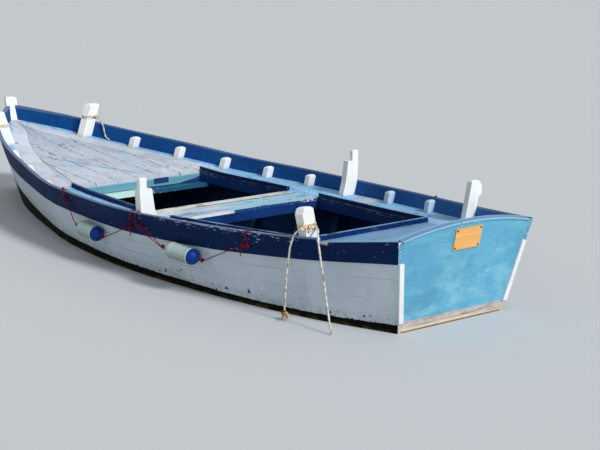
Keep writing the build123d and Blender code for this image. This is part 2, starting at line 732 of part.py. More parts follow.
with BuildPart() as bridge_beams:
    for x in (BRIDGE_AFT_X, BRIDGE_FORE_X - BEAM_SIDING):
        add(deck_beam(x).part)
save("bridge_beams", bridge_beams)

with BuildPart() as aft_deck_beam:
    add(deck_beam(AFT_DECK_X - BEAM_SIDING).part)
save("aft_deck_beam", aft_deck_beam)

# Shelf under the main beam, between the frames
SHELF_Z = deck_z(at(MAIN_BEAM_X + BEAM_SIDING - SHELF_WIDTH)) - DECK_THICKNESS - BEAM_HEIGHT - 3 * SEAT
SHELF_HALF = inner(at(MAIN_BEAM_X), SHELF_Z - SHELF_THICKNESS) - FRAME_MOULDING - SEAT
with BuildPart() as shelf_plank:
    with Locations((MAIN_BEAM_X + BEAM_SIDING, 0, SHELF_Z)):
        Box(SHELF_WIDTH, 2 * SHELF_HALF, SHELF_THICKNESS, align=(Align.MAX, Align.CENTER, Align.MAX))
save("shelf_plank", shelf_plank)


# Carlins under the cockpits' edges, and coamings on them
def carlin_outline(s):
    high = deck_z(s) - DECK_THICKNESS - SEAT
    return strip(inner_line(s.x), inner_line(s.x) + CARLIN_SIDING, high - CARLIN_HEIGHT, high)


def coaming_outline(s):
    edge = inner_line(s.x)
    return strip(edge, edge + COAMING_THICKNESS, deck_z(s), deck_z(s) + COAMING_HEIGHT)


with BuildPart() as port_carlins:
    add(long_piece(carlin_outline, between(AFT_DECK_X + SEAT, BRIDGE_AFT_X - SEAT)).part)
    add(long_piece(carlin_outline, between(BRIDGE_FORE_X + SEAT, MAIN_BEAM_X - SEAT)).part)
save("port_carlins", port_carlins)
save("starboard_carlins", mirrored(port_carlins))

port_forward_coaming = long_piece(coaming_outline, between(BRIDGE_FORE_X, MAIN_BEAM_X))
save("port_forward_coaming", port_forward_coaming)
save("starboard_forward_coaming", mirrored(port_forward_coaming))

port_aft_coaming = long_piece(coaming_outline, between(AFT_DECK_X, BRIDGE_AFT_X))
save("port_aft_coaming", port_aft_coaming)
save("starboard_aft_coaming", mirrored(port_aft_coaming))

with BuildPart() as cockpit_end:
    low = deck_z(at(AFT_DECK_X - COAMING_THICKNESS))
    with BuildSketch(Plane.XY.offset(low)):
        with Locations((AFT_DECK_X, 0)):
            Rectangle(COAMING_THICKNESS, 2 * OPENING_AT_AFT_DECK, align=(Align.MAX, Align.CENTER))
    extrude(amount=COAMING_HEIGHT)
save("cockpit_end", cockpit_end)

# Bottom boards on the floor timbers
BOARDS_START = FRAMES[QUARTER_POST_FRAME] - FRAME_SIDING
BOARDS_END = FRAMES[MAIN_BEAM_FRAME] + FRAME_SIDING


def bottom_board_outline(middle_y):
    def outline(s):
        low = s.chine_z + FLOOR_HEIGHT + 2 * SEAT
        return strip(middle_y - BOARDS_WIDTH / 2, middle_y + BOARDS_WIDTH / 2, low, low + BOARDS_THICKNESS)
    return outline


with BuildPart() as bottom_boards:
    for i in range(BOARDS):
        middle_y = (i - (BOARDS - 1) / 2) * (BOARDS_WIDTH + BOARDS_GAP)
        add(long_piece(bottom_board_outline(middle_y), between(BOARDS_START, BOARDS_END)).part)
save("bottom_boards", bottom_boards)


# Lashings: rope wound round a post, drawn as one plain ring
def lashing(i, moulding, above, height):
    """A ring round the post of frame i, this far above the sheer."""
    def block(grow, low, high):
        def outline(s):
            foot, head = s.sheer_z + low, s.sheer_z + high
            return [(inner(s, foot) + grow, foot), (inner(s, head) + grow, head),
                    (inner(s, head) - moulding - grow, head), (inner(s, foot) - moulding - grow, foot)]
        half = POST_SIDING / 2 + grow
        return long_piece(outline, [at(FRAMES[i] - half), at(FRAMES[i] + half)]).part
    with BuildPart() as ring:
        add(block(LASHING_THICKNESS, above, above + height))
        add(block(SEAT, above - height, above + 2 * height), mode=Mode.SUBTRACT)
    return ring


port_quarter_lashing = lashing(QUARTER_POST_FRAME, QUARTER_POST_MOULDING,
                               QUARTER_LASHING_ABOVE, QUARTER_LASHING_HEIGHT)
save("port_quarter_lashing", port_quarter_lashing)

port_bow_lashing = lashing(BOW_POST_FRAME, BOW_POST_MOULDING, BOW_LASHING_ABOVE, BOW_LASHING_HEIGHT)
save("port_bow_lashing", port_bow_lashing)
save("starboard_bow_lashing", mirrored(port_bow_lashing))


# Fenders, which hang against the port side
def fender_ends(middle_x, middle_z, dip):
    """The fore and aft ends of a fender's body. Its aft end is lower by dip."""
    reach = FENDER_DIAMETER / 2 + SEAT
    fore, aft = middle_x + FENDER_BODY / 2, middle_x - FENDER_BODY / 2
    z = {x: middle_z + dip * (x - middle_x) / FENDER_BODY for x in (fore, middle_x, aft)}
    y_fore, y_aft = side(at(fore), z[fore], -reach), side(at(aft), z[aft], -reach)
    bulge = 0
    for s in between(aft, fore):
        share = (s.x - aft) / FENDER_BODY
        touching = side(s, z[aft] + (z[fore] - z[aft]) * share, -reach)
        bulge = max(bulge, touching - (y_aft + (y_fore - y_aft) * share))
    return Vector(fore, y_fore + bulge, z[fore]), Vector(aft, y_aft + bulge, z[aft])


def fender(ends):
    """A round body with domed ends, drawn in flats and short bevels, and a neck with an eye at each."""
    fore, aft = ends
    length = (fore - aft).length
    radius, neck = FENDER_DIAMETER / 2, FENDER_NECK / 2
    last = degrees(acos(neck / radius))
    dome = [last * i / FENDER_BEVELS for i in range(FENDER_BEVELS + 1)]
    upper = [(radius * cos(radians(a)), length / 2 + radius * sin(radians(a))) for a in dome]
    upper += [(neck, length / 2 + FENDER_END)]
    lathe = Plane(origin=(fore + aft) / 2, z_dir=fore - aft)
    with BuildPart() as piece:
        for r, h in [(r, -h) for r, h in reversed(upper)] + upper:
            with BuildSketch(lathe.offset(h)):
                RegularPolygon(r, FENDER_SIDES)
        loft(ruled=True)
        eye = (length + 2 * FENDER_END - FENDER_NECK) / 2
        for end in (eye, -eye):
            with BuildSketch(Plane(lathe.origin + lathe.z_dir * end, x_dir=lathe.x_dir, z_dir=lathe.y_dir)):
                RegularPolygon(FENDER_EYE / 2, ROPE_SIDES)
            extrude(amount=FENDER_NECK, both=True, mode=Mode.SUBTRACT)
    return piece


FORWARD_FENDER = fender_ends(middle_x=-141, middle_z=358, dip=5)
AFT_FENDER = fender_ends(middle_x=-1117, middle_z=391, dip=11)
forward_fender = fender(FORWARD_FENDER)
save("forward_fender", forward_fender)
aft_fender = fender(AFT_FENDER)
save("aft_fender", aft_fender)


def tip(ends, end, beyond=SEAT):
    """A point beyond the tip of a fender's fore (0) or aft (1) eye, in line with the fender."""
    out = (ends[end] - ends[1 - end]).normalized()
    return tuple(ends[end] + out * (FENDER_END + beyond))


# Ropes: straight runs joined by arcs as large as their runs allow, with as many flats round them as keep
# the section of a round one
def rope(name, points, diameter):
    points = [Vector(*p) for p in points]
    radii = []
    for a, b, c in zip(points, points[1:], points[2:]):
        turn = radians((b - a).get_angle(c - b))
        radii.append(0.45 * min((b - a).length, (c - b).length) / tan(turn / 2))
    with BuildPart() as piece:
        with BuildLine() as route:
            FilletPolyline(*points, radius=radii)
        with BuildSketch(Plane(origin=points[0], z_dir=points[1] - points[0])):
            RegularPolygon(diameter / 2 * sqrt(pi / (ROPE_SIDES * tan(pi / ROPE_SIDES))), ROPE_SIDES,
                           major_radius=False)
        sweep(path=route.wires()[0])
    length = route.wires()[0].length
    section = piece.part.volume / length
    print(name, "length", round(length), "section", round(section, 2), "radii", [round(r) for r in radii],
          "from", [round(v, 1) for v in points[0]], "to", [round(v, 1) for v in points[-1]])
    return piece


# Red lines, from a knot on the strake to each fender's eyes and on to the next knot
line_to_forward_fender = rope("line_to_forward_fender", [
    (191, 846, 519), (165, 834, 469), (149, 824, 417), (107, 832, 381), (72, 840, 368),
    tip(FORWARD_FENDER, 0, 22), tip(FORWARD_FENDER, 0),
], LINE_DIAMETER)
save("line_to_forward_fender", line_to_forward_fender)

line_from_forward_fender = rope("line_from_forward_fender", [
    tip(FORWARD_FENDER, 1), tip(FORWARD_FENDER, 1, 22), (-368, 868, 367), (-572, 855, 452),
    (-606, 849, 468),
], LINE_DIAMETER)
save("line_from_forward_fender", line_from_forward_fender)

line_to_aft_fender = rope("line_to_aft_fender", [
    (-668, 860, 509), (-708, 854, 496), (-749, 849, 481), (-830, 846, 453), (-888, 842, 424),
    tip(AFT_FENDER, 0, 30), tip(AFT_FENDER, 0),
], LINE_DIAMETER)
save("line_to_aft_fender", line_to_aft_fender)

line_from_aft_fender = rope("line_from_aft_fender", [
    tip(AFT_FENDER, 1), tip(AFT_FENDER, 1, 22), (-1342, 787, 399), (-1570, 744, 502),
    (-1606, 737, 513),
], LINE_DIAMETER)
save("line_from_aft_fender", line_from_aft_fender)

# White ropes, from the quarter post's lashing: one hangs over the side to its knot at the water, and one
# is drawn tight over the strake's step and down under the water
hanging_rope = rope("hanging_rope", [
    (-2030.5, 658.6, 674), (-2012, 680, 659), (-1996, 693, 628), (-1982, 698, 585), (-1969, 700, 529),
    (-1956, 700, 455), (-1940, 700, 357), (-1927, 698, 207),
], ROPE_DIAMETER)
save("hanging_rope", hanging_rope)

KNOT_TOP = 206            # a little below the rope's end
with BuildPart() as hanging_rope_knot:
    with BuildSketch(Plane.XY.offset(KNOT_TOP)):
        with Locations((-1927, 698)):
            RegularPolygon(KNOT_DIAMETER / 2, ROPE_SIDES)
    extrude(amount=-KNOT_DIAMETER)
    ends = hanging_rope_knot.faces().filter_by(Axis.Z)
    chamfer([edge for end in ends for edge in end.edges()], KNOT_DIAMETER / 4)
save("hanging_rope_knot", hanging_rope_knot)

tight_rope = rope("tight_rope", [
    (-2047.8, 573, 668), (-2079, 590, 669), (-2110, 613, 662), (-2138, 637, 637),
    (-2157, 645, 587), (-2312, 677, 105),
], ROPE_DIAMETER)
save("tight_rope", tight_rope)
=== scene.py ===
"""The looks of a half-decked wooden rowing boat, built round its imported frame."""

import json
import logging
import math
from dataclasses import dataclass
from enum import Enum
from functools import cached_property

import bmesh
import bpy
from mathutils import Matrix, Vector

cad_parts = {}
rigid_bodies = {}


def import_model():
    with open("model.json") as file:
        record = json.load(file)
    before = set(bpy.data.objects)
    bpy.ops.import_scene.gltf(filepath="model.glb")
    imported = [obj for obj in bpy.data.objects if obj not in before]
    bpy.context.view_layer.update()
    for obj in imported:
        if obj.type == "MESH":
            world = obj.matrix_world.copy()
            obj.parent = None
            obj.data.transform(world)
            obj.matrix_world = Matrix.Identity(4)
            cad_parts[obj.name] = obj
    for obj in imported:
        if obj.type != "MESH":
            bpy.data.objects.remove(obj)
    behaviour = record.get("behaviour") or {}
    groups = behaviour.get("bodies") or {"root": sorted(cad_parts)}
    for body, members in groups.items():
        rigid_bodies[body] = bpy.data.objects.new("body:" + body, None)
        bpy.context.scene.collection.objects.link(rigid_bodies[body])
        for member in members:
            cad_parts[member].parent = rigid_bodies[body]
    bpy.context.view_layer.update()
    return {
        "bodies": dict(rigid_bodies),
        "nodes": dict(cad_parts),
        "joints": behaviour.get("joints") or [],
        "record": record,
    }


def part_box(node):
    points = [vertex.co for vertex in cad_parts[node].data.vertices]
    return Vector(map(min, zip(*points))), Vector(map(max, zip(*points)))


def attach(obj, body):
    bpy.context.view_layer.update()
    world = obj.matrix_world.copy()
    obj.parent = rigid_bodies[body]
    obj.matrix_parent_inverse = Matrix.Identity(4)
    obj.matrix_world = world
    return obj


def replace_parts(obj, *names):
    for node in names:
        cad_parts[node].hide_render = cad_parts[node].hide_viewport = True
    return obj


LOG = logging.getLogger("rowing_boat")
BODY = "root"
WATERLINE = 0.150
MERGE = 1e-5
UPWARDS = Vector((0, 0, 1))

Colour = tuple[float, float, float]
Point = tuple[float, float, float]
Line = tuple[tuple[float, float], ...]

EVEN = (1.0, 1.0, 1.0)
NOWHERE = (0.0, 0.0, 0.0)


def srgb(red: int, green: int, blue: int) -> Colour:
    """Turn a colour from 0-255 screen values to the linear values that shaders take.

    Args:
        red: Screen red.
        green: Screen green.
        blue: Screen blue.

    Returns:
        The linear colour.
    """
    def channel(value: int) -> float:
        """One channel, from screen to linear."""
        share = value / 255
        return share / 12.92 if share <= 0.04045 else ((share + 0.055) / 1.055) ** 2.4
    return channel(red), channel(green), channel(blue)


class Grain(Enum):
    """The way that brush strokes, cracks and wood grain run."""

    FORE_AND_AFT = (0.9, 16.0, 16.0)
    ATHWART = (16.0, 0.9, 16.0)
    UPRIGHT = (16.0, 16.0, 1.2)


class Signal:
    """A number or a colour that changes over a surface."""

    def __init__(self, shader: "Shader", socket: bpy.types.NodeSocket) -> None:
        """Keep its finish, and the socket that it comes from."""
        self.shader = shader
        self.socket = socket

    def __add__(self, other: object) -> "Signal":
        """The sum."""
        return self.shader.math("ADD", self, other)

    def __sub__(self, other: object) -> "Signal":
        """The difference."""
        return self.shader.math("SUBTRACT", self, other)

    def __rsub__(self, other: float) -> "Signal":
        """What is left of a number."""
        return self.shader.math("SUBTRACT", other, self)

    def __mul__(self, other: object) -> "Signal":
        """The product."""
        return self.shader.math("MULTIPLY", self, other)

    def __abs__(self) -> "Signal":
        """The number without its sign."""
        return self.shader.math("ABSOLUTE", self)

    def most(self, other: object) -> "Signal":
        """The larger of the two."""
        return self.shader.math("MAXIMUM", self, other)

    def wander(self, reach: float, base: object) -> "Signal":
        """Noise round 0.5, as a shift of so much to either side of a base."""
        return (self - 0.5) * reach + base

    def step(self, low: float, high: float) -> "Signal":
        """0 below low, 1 above high and a smooth rise between them. Low above high turns it round."""
        inputs = {"Value": self, "From Min": low, "From Max": high}
        return Signal(self.shader, self.shader.node("MapRange", inputs, interpolation_type="SMOOTHSTEP").outputs[0])

    def cover(self, share: object, paint: object) -> "Signal":
        """This colour with a share of another over it."""
        return self.shader.blend(share, self, paint)


class Shader:
    """A finish that builds the nodes of its own material."""

    name: str

    @cached_property
    def data(self) -> bpy.types.Material:
        """The material.

        Returns:
            The material, which nodes are added to.
        """
        data = bpy.data.materials.new(self.name)
        data.use_nodes = True
        return data

    @cached_property
    def bsdf(self) -> bpy.types.Node:
        """The material's own shader."""
        return self.data.node_tree.nodes["Principled BSDF"]

    @cached_property
    def place(self) -> bpy.types.NodeSocket:
        """The place on the object."""
        return self.node("TexCoord", {}).outputs["Object"]

    @cached_property
    def axes(self) -> list[Signal]:
        """The three numbers of the place."""
        return self.split(self.place)

    @property
    def x(self) -> Signal:
        """How far forward it is."""
        return self.axes[0]

    @property
    def y(self) -> Signal:
        """How far to port it is."""
        return self.axes[1]

    @property
    def z(self) -> Signal:
        """How high it is."""
        return self.axes[2]

    @cached_property
    def geometry(self) -> bpy.types.NodeOutputs:
        """What is known of the surface."""
        return self.node("NewGeometry", {}).outputs

    @cached_property
    def normal(self) -> list[Signal]:
        """The way that the face looks."""
        return self.split(self.geometry["True Normal"])

    def node(self, kind: str, inputs: dict[str | int, object], **settings: object) -> bpy.types.Node:
        """Add a node.

        Args:
            kind: What it is.
            inputs: What goes into each input, by name or number.
            settings: Its own choices.

        Returns:
            The node.
        """
        node = self.data.node_tree.nodes.new(f"ShaderNode{kind}")
        for name, value in settings.items():
            setattr(node, name, value)
        for key, value in inputs.items():
            self.feed(node.inputs[key], value)
        return node

    def feed(self, socket: bpy.types.NodeSocket, value: object) -> None:
        """Link a socket to another, or set its value.

        Args:
            socket: The socket.
            value: What goes into it.
        """
        value = value.socket if isinstance(value, Signal) else value
        if isinstance(value, bpy.types.NodeSocket):
            self.data.node_tree.links.new(value, socket)
        else:
            socket.default_value = (*value, 1.0) if socket.type == "RGBA" else value

    def split(self, vector: bpy.types.NodeSocket) -> list[Signal]:
        """The three numbers of a vector."""
        return [Signal(self, output) for output in self.node("SeparateXYZ", {0: vector}).outputs]

    def measure(self, operation: str, first: object, second: object) -> Signal:
        """A number worked out from two vectors."""
        node = self.node("VectorMath", {0: first, 1: second}, operation=operation)
        return Signal(self, node.outputs["Value"])

    def math(self, operation: str, *values: object) -> Signal:
        """The answer of a Math node."""
        return Signal(self, self.node("Math", dict(enumerate(values)), operation=operation).outputs[0])

    def inward(self) -> Signal:
        """1 on faces that look to the boat's middle line, 0 on the others."""
        return (self.normal[1] * self.math("SIGN", self.y)).step(-0.2, -0.3)

    def noise(self, scale: Point, size: float, detail: float = 5.0, roughness: float = 0.6,
              shift: Point = NOWHERE, distortion: float = 0.0) -> Signal:
        """Cloudy noise, from 0 to 1.

        Args:
            scale: How it is stretched along each axis.
            size: How many clouds a metre.
            detail: How many finer layers it has.
            roughness: How strong the finer layers are.
            shift: Where it is sampled from.
            distortion: How far it is warped.

        Returns:
            The noise.
        """
        place = self.node("Mapping", {"Vector": self.place, "Scale": scale, "Location": shift}).outputs[0]
        node = self.node("TexNoise", {"Vector": place, "Scale": size, "Detail": detail, "Roughness": roughness,
                                      "Distortion": distortion})
        return Signal(self, node.outputs[0])

    def blend(self, share: object, first: object, second: object) -> Signal:
        """The first colour with a share of the second."""
        return Signal(self, self.node("Mix", {0: share, 6: first, 7: second}, data_type="RGBA").outputs[2])

    def along(self, points: Line, reach: tuple[float, float] = (-2.7, 2.7), place: Signal | None = None) -> Signal:
        """A height that changes along a line.

        Args:
            points: Pairs of place and height, in metres.
            reach: The lowest and highest place of the curve.
            place: The place, or None for the one along the boat.

        Returns:
            The height at each place.
        """
        low, high = reach
        share = self.math("DIVIDE", (place or self.x) - low, high - low)
        node = self.node("FloatCurve", {"Value": share})
        curve = node.mapping.curves[0]
        pairs = [((spot - low) / (high - low), height) for spot, height in points]
        for point, pair in zip(curve.points, (pairs[0], pairs[-1])):
            point.location = pair
        for pair in pairs[1:-1]:
            curve.points.new(*pair)
        node.mapping.update()
        return Signal(self, node.outputs[0])

    def near(self, centre: Point, radius: float, soft: float = 0.5) -> Signal:
        """1 within a radius of a point, falling to 0 outside it."""
        return self.measure("DISTANCE", self.place, centre).step(radius, radius * soft)

    def bevel(self, radius: float) -> bpy.types.NodeSocket:
        """The way that the surface would look if its edges were rounded."""
        return self.node("Bevel", {"Radius": radius}, samples=4).outputs[0]

    def worn(self, rounded: bpy.types.NodeSocket) -> Signal:
        """1 on outer edges that are rounded, 0 on flat faces."""
        return self.measure("DOT_PRODUCT", rounded, self.geometry["Normal"]).step(0.985, 0.86)

    def bump(self, height: object, distance: float, strength: float = 1.0) -> None:
        """Raise the surface, over what is already raised.

        Args:
            height: Where it is raised.
            distance: How high, in metres.
            strength: How strongly it shows.
        """
        node = self.node("Bump", {"Strength": strength, "Distance": distance, "Height": height})
        normal = self.bsdf.inputs["Normal"]
        for link in normal.links[:1]:
            self.feed(node.inputs["Normal"], link.from_socket)
        self.feed(normal, node.outputs[0])

    def finish(self, colour: object, roughness: object, shine: float = 0.5) -> bpy.types.Material:
        """Set the surface and close the material.

        Args:
            colour: Its colour.
            roughness: From 0, a mirror, to 1.
            shine: How strongly it reflects.

        Returns:
            The material.
        """
        self.feed(self.bsdf.inputs["Base Color"], colour)
        self.feed(self.bsdf.inputs["Roughness"], roughness)
        self.bsdf.inputs["Specular IOR Level"].default_value = shine
        return self.data


# The strake's outer navy, made darker as painted shade for the shaded near side.
SHADED_OUTER_NAVY = srgb(5, 32, 76)
# A brighter navy. On the strake's inner faces it is painted light for the sunlit inside of the far bulwark; the
# bridge's aft edge uses it too.
INSIDE_NAVY = srgb(16, 70, 130)
LIGHT_BLUE = srgb(132, 186, 226)
LILAC_WHITE = srgb(196, 203, 214)
WORN_WHITE = srgb(214, 218, 222)
SKY_BLUE = srgb(90, 160, 190)
EDGE_NAVY = srgb(8, 40, 92)

# The deck's height and the width inside the planking at it, along the boat
DECK_LINE = ((-2.7, 0.606), (-2.55, 0.594), (-2.009, 0.542), (-1.569, 0.514), (-1.129, 0.493), (-0.689, 0.475),
             (-0.309, 0.4685), (0.315, 0.4658), (0.656, 0.477), (1.1, 0.51), (1.45, 0.535), (1.951, 0.587),
             (2.3, 0.643), (2.7, 0.72))
DECK_EDGE = ((-2.7, 0.42), (-2.55, 0.462), (-2.009, 0.620), (-1.569, 0.709), (-1.129, 0.771), (-0.689, 0.814),
             (-0.309, 0.823), (0.315, 0.782), (0.656, 0.729), (1.1, 0.625), (1.45, 0.532), (1.951, 0.359),
             (2.3, 0.170), (2.7, 0.0))
SHEER = ((-2.7, 0.690), (-2.3, 0.640), (-2.0, 0.612), (-1.57, 0.590), (-1.1, 0.570), (-0.6, 0.556), (0.0, 0.552),
         (0.6, 0.562), (1.1, 0.601), (1.5, 0.632), (2.0, 0.688), (2.7, 0.80))


def shaded(colour: Colour, share: float, lift: float = 0.0) -> Colour:
    """A colour made darker or paler."""
    return tuple(min(0.95, channel * share + lift) for channel in colour)


@dataclass(frozen=True)
class OldPaint(Shader):
    """Brushed oil paint on timber, which fades, flakes and chips along its edges."""

    name: str
    colour: Colour
    undercoat: Colour
    timber: Colour = srgb(150, 138, 122)
    grain: Grain = Grain.FORE_AND_AFT
    flaked: float = 0.1
    chipped: float = 0.5
    patchy: float = 0.12
    gloss: float = 0.55
    shine: float = 0.25

    def strokes(self, size: float, detail: float = 6.0, roughness: float = 0.65,
                shift: Point = NOWHERE) -> Signal:
        """Noise drawn out along the grain."""
        return self.noise(self.grain.value, size, detail, roughness, shift)

    def brushed(self, paint: Colour) -> Signal:
        """Paint of any colour, faded in patches and streaked by the brush.

        Args:
            paint: The paint's colour.

        Returns:
            The colour.
        """
        cloud = self.noise(EVEN, 2.3, 4).step(0.3, 0.7)
        faded = self.blend(cloud, shaded(paint, 1 - 1.6 * self.patchy),
                             shaded(paint, 1 + 1.5 * self.patchy, 0.01 * self.patchy))
        streaks = self.strokes(3.1).step(0.38, 0.72)
        return faded.cover(streaks * min(1.0, 4 * self.patchy), shaded(paint, 1.25, 0.004))

    def coat(self) -> Signal:
        """The paint itself, with its fading and brush strokes."""
        return self.brushed(self.colour)

    def wear(self, colour: Signal) -> tuple[Signal, Signal]:
        """Flake and chip the paint.

        Args:
            colour: The whole paint's colour.

        Returns:
            The worn colour, and where the paint is gone.
        """
        spots = self.noise(EVEN, 38, 8, 0.62, (0.3, 5, 1))
        worn = spots * 0.45 + self.strokes(1.9, 9, 0.7, (3.1, 1.7, 0.4)) * 0.55
        if self.chipped > 0:
            worn += self.worn(self.bevel(0.006)) * (0.2 * self.chipped)
        limit = 0.66 - 0.28 * self.flaked
        gone = worn.step(limit, limit + 0.015)
        bare = self.blend(self.strokes(7, 5, 0.6), shaded(self.timber, 0.6), self.timber)
        return colour.cover(gone, self.undercoat).cover(worn.step(limit + 0.05, limit + 0.07), bare), gone

    def surface(self) -> tuple[Signal, Signal]:
        """The finished colour, and where the paint is gone."""
        return self.wear(self.coat())

    def material(self) -> bpy.types.Material:
        """The whole finish, with raised brush strokes and edges of the flakes.

        Returns:
            The material.
        """
        colour, gone = self.surface()
        self.bump(self.strokes(6, 6, 0.6, (1, 2, 3)), 0.0012, 0.5)
        self.bump(1.0 - gone, 0.0008, 0.6)
        return self.finish(colour, gone * 0.3 + self.gloss, self.shine)


@dataclass(frozen=True)
class HeadPaint(OldPaint):
    """White frame heads over the deck, light blue ones towards the stern, and navy timbers under it."""

    aft: Colour = srgb(222, 224, 224)
    dirt: Colour = srgb(140, 138, 128)
    timbers: Colour = srgb(18, 58, 104)

    def surface(self) -> tuple[Signal, Signal]:
        """The three paints, with dirt where the heads come through the deck.

        Returns:
            The colour, and where the paint is gone.
        """
        coat = self.coat().cover(self.x.step(-0.2, -1.3), self.brushed(self.aft))
        white, gone = self.wear(coat)
        over = self.z - self.along(DECK_LINE)
        white = white.cover(over.step(0.03, 0.0) * self.noise(EVEN, 30) * 0.5, self.dirt)
        return white.cover(over.step(-0.018, -0.022), self.brushed(self.timbers)), gone


@dataclass(frozen=True)
class SidePaint(OldPaint):
    """White side planking over a dark boot-top, with weed at the water, two plank seams and a navy inside."""

    runs: Colour = srgb(150, 152, 142)
    grime: Colour = srgb(128, 122, 96)
    specks: Colour = srgb(18, 20, 20)
    smudge: Colour = srgb(184, 172, 146)
    smudge_place: Point = (-2.23, 0.665, 0.548)
    seam: Colour = srgb(84, 88, 94)
    boot_top: Colour = srgb(6, 8, 5)
    boot_moss: Colour = srgb(24, 24, 12)
    weed: Colour = srgb(66, 66, 20)
    end_grain: Colour = srgb(188, 182, 168)
    inside: Colour = srgb(16, 60, 108)
    boot_line: Line = ((-2.7, 0.212), (-2.3, 0.196), (-1.6, 0.188), (-0.9, 0.196), (0.2, 0.212), (0.8, 0.232),
                       (1.2, 0.262), (1.5, 0.300), (2.1, 0.350), (2.7, 0.420))
    seams: tuple[Line, Line] = (
        ((-2.6, 0.467), (-1.8, 0.412), (-0.8, 0.372), (0.4, 0.370), (1.4, 0.398), (2.3, 0.470)),
        ((-2.6, 0.343), (-1.8, 0.314), (-0.8, 0.293), (0.4, 0.292), (1.4, 0.307), (2.3, 0.344)))

    def planks(self, rough: Signal, above: Signal) -> Signal:
        """White paint with grey runs, grime and specks near the boot-top, a smudge and dark seams.

        Args:
            rough: Fine noise.
            above: Height over the boot-top's edge.

        Returns:
            The colour.
        """
        runs = self.noise((5, 5, 0.5), 2.6, 6, 0.7, (0, 0, 7)).step(0.5, 0.8)
        colour = self.coat().cover(runs * 0.3, self.runs)
        colour = colour.cover(above.step(0.07, 0.0) * rough.step(0.35, 0.75) * 0.6, self.grime)
        flecks = self.noise((0.8, 1, 1.5), 38, 3, 0.5, (4, 1, 2))
        gather = above.step(0.10, 0.0) * self.x.step(0.6, -1.2) * 0.09
        colour = colour.cover((gather + flecks).step(0.725, 0.74) * above.step(0.16, 0.1), self.specks)
        scuff = self.near(self.smudge_place, 0.12, 0.3) * rough.step(0.42, 0.6)
        colour = colour.cover(scuff * 0.8, self.smudge)
        faint = self.noise(EVEN, 3, 3, 0.5, (9, 0, 0)).step(0.42, 0.62) * 0.5 + 0.05
        for seam in self.seams:
            colour = colour.cover(abs(self.z - self.along(seam)).step(0.0022, 0.0008) * faint, self.seam)
        return colour

    def surface(self) -> tuple[Signal, Signal]:
        """Planks and boot-top outside, navy inside. Flakes stay off the boot-top.

        Returns:
            The colour, and where the paint is gone.
        """
        rough = self.noise(EVEN, 30, 6, 0.7)
        above = self.z - rough.wander(0.016, self.along(self.boot_line))
        moss = self.noise((2, 2, 4), 9, 6, 0.7, (0, 3, 0))
        boot = self.blend(moss.step(0.55, 0.75), self.boot_top, self.boot_moss)
        boot = boot.cover((self.z - WATERLINE).step(0.028, 0.004) * moss.step(0.42, 0.62), self.weed)
        whole = self.planks(rough, above).cover(above.step(0.002, -0.002), boot)
        colour, gone = self.wear(whole)
        colour = colour.cover(self.z.step(0.26, 0.23), whole)
        colour = colour.cover(self.normal[0].step(-0.85, -0.92), self.end_grain)
        return colour.cover(self.inward(), self.brushed(self.inside)), gone


@dataclass(frozen=True)
class StrakePaint(OldPaint):
    """Navy strake, darker outside as painted shade and brighter inboard as painted light, brighter still aft, chipped
    along its port top, with bare wood at the step and blue ends.
    """

    lit_inner_fore: Colour = INSIDE_NAVY
    lit_inner_aft: Colour = srgb(44, 98, 156)
    rubbed: Colour = srgb(142, 162, 190)
    wood: Colour = srgb(190, 176, 150)
    wood_place: Point = (-2.157, 0.618, 0.612)
    ends: Colour = srgb(92, 150, 180)
    scraped: Colour = srgb(196, 206, 210)

    def surface(self) -> tuple[Signal, Signal]:
        """The paint, with chips that gather along the top.

        Returns:
            The colour, and where the paint is gone.
        """
        # Painted light and shade: dark navy outside for the shaded near side, brighter navy inboard for the sunlit far
        # bulwark, brighter still aft.
        outer = self.coat()
        inner = self.brushed(self.lit_inner_fore).cover(
            self.x.step(-0.9, -1.7), self.brushed(self.lit_inner_aft))
        colour, gone = self.wear(outer.cover(self.inward(), inner))
        below = self.z - self.along(SHEER)
        port = self.y.step(0.0, 0.1)
        band = self.x.step(-0.7, -1.0) * self.x.step(-2.05, -1.75)
        chips = self.noise((0.32, 1, 1.7), 62, 5, 0.6, (2, 2, 2))
        chipped = (chips + below.step(-0.055, 0.004) * port * (band * 0.105 + 0.03)).step(0.68, 0.695)
        colour = colour.cover(chipped * 0.85, self.undercoat)
        colour = colour.cover(below.step(0.0, 0.008) * (port * 0.2 + 0.3), self.rubbed)
        bare = self.near(self.wood_place, 0.036, 0.6) * self.noise(EVEN, 30).step(0.32, 0.42)
        colour = colour.cover(bare * self.z.step(0.600, 0.604), self.wood)
        scraped = self.noise(EVEN, 40, 5, 0.6, (7, 0, 0)).step(0.55, 0.6)
        ends = self.brushed(self.ends).cover(scraped, self.scraped)
        return colour.cover(self.normal[0].step(-0.85, -0.92), ends), gone.most(chipped)


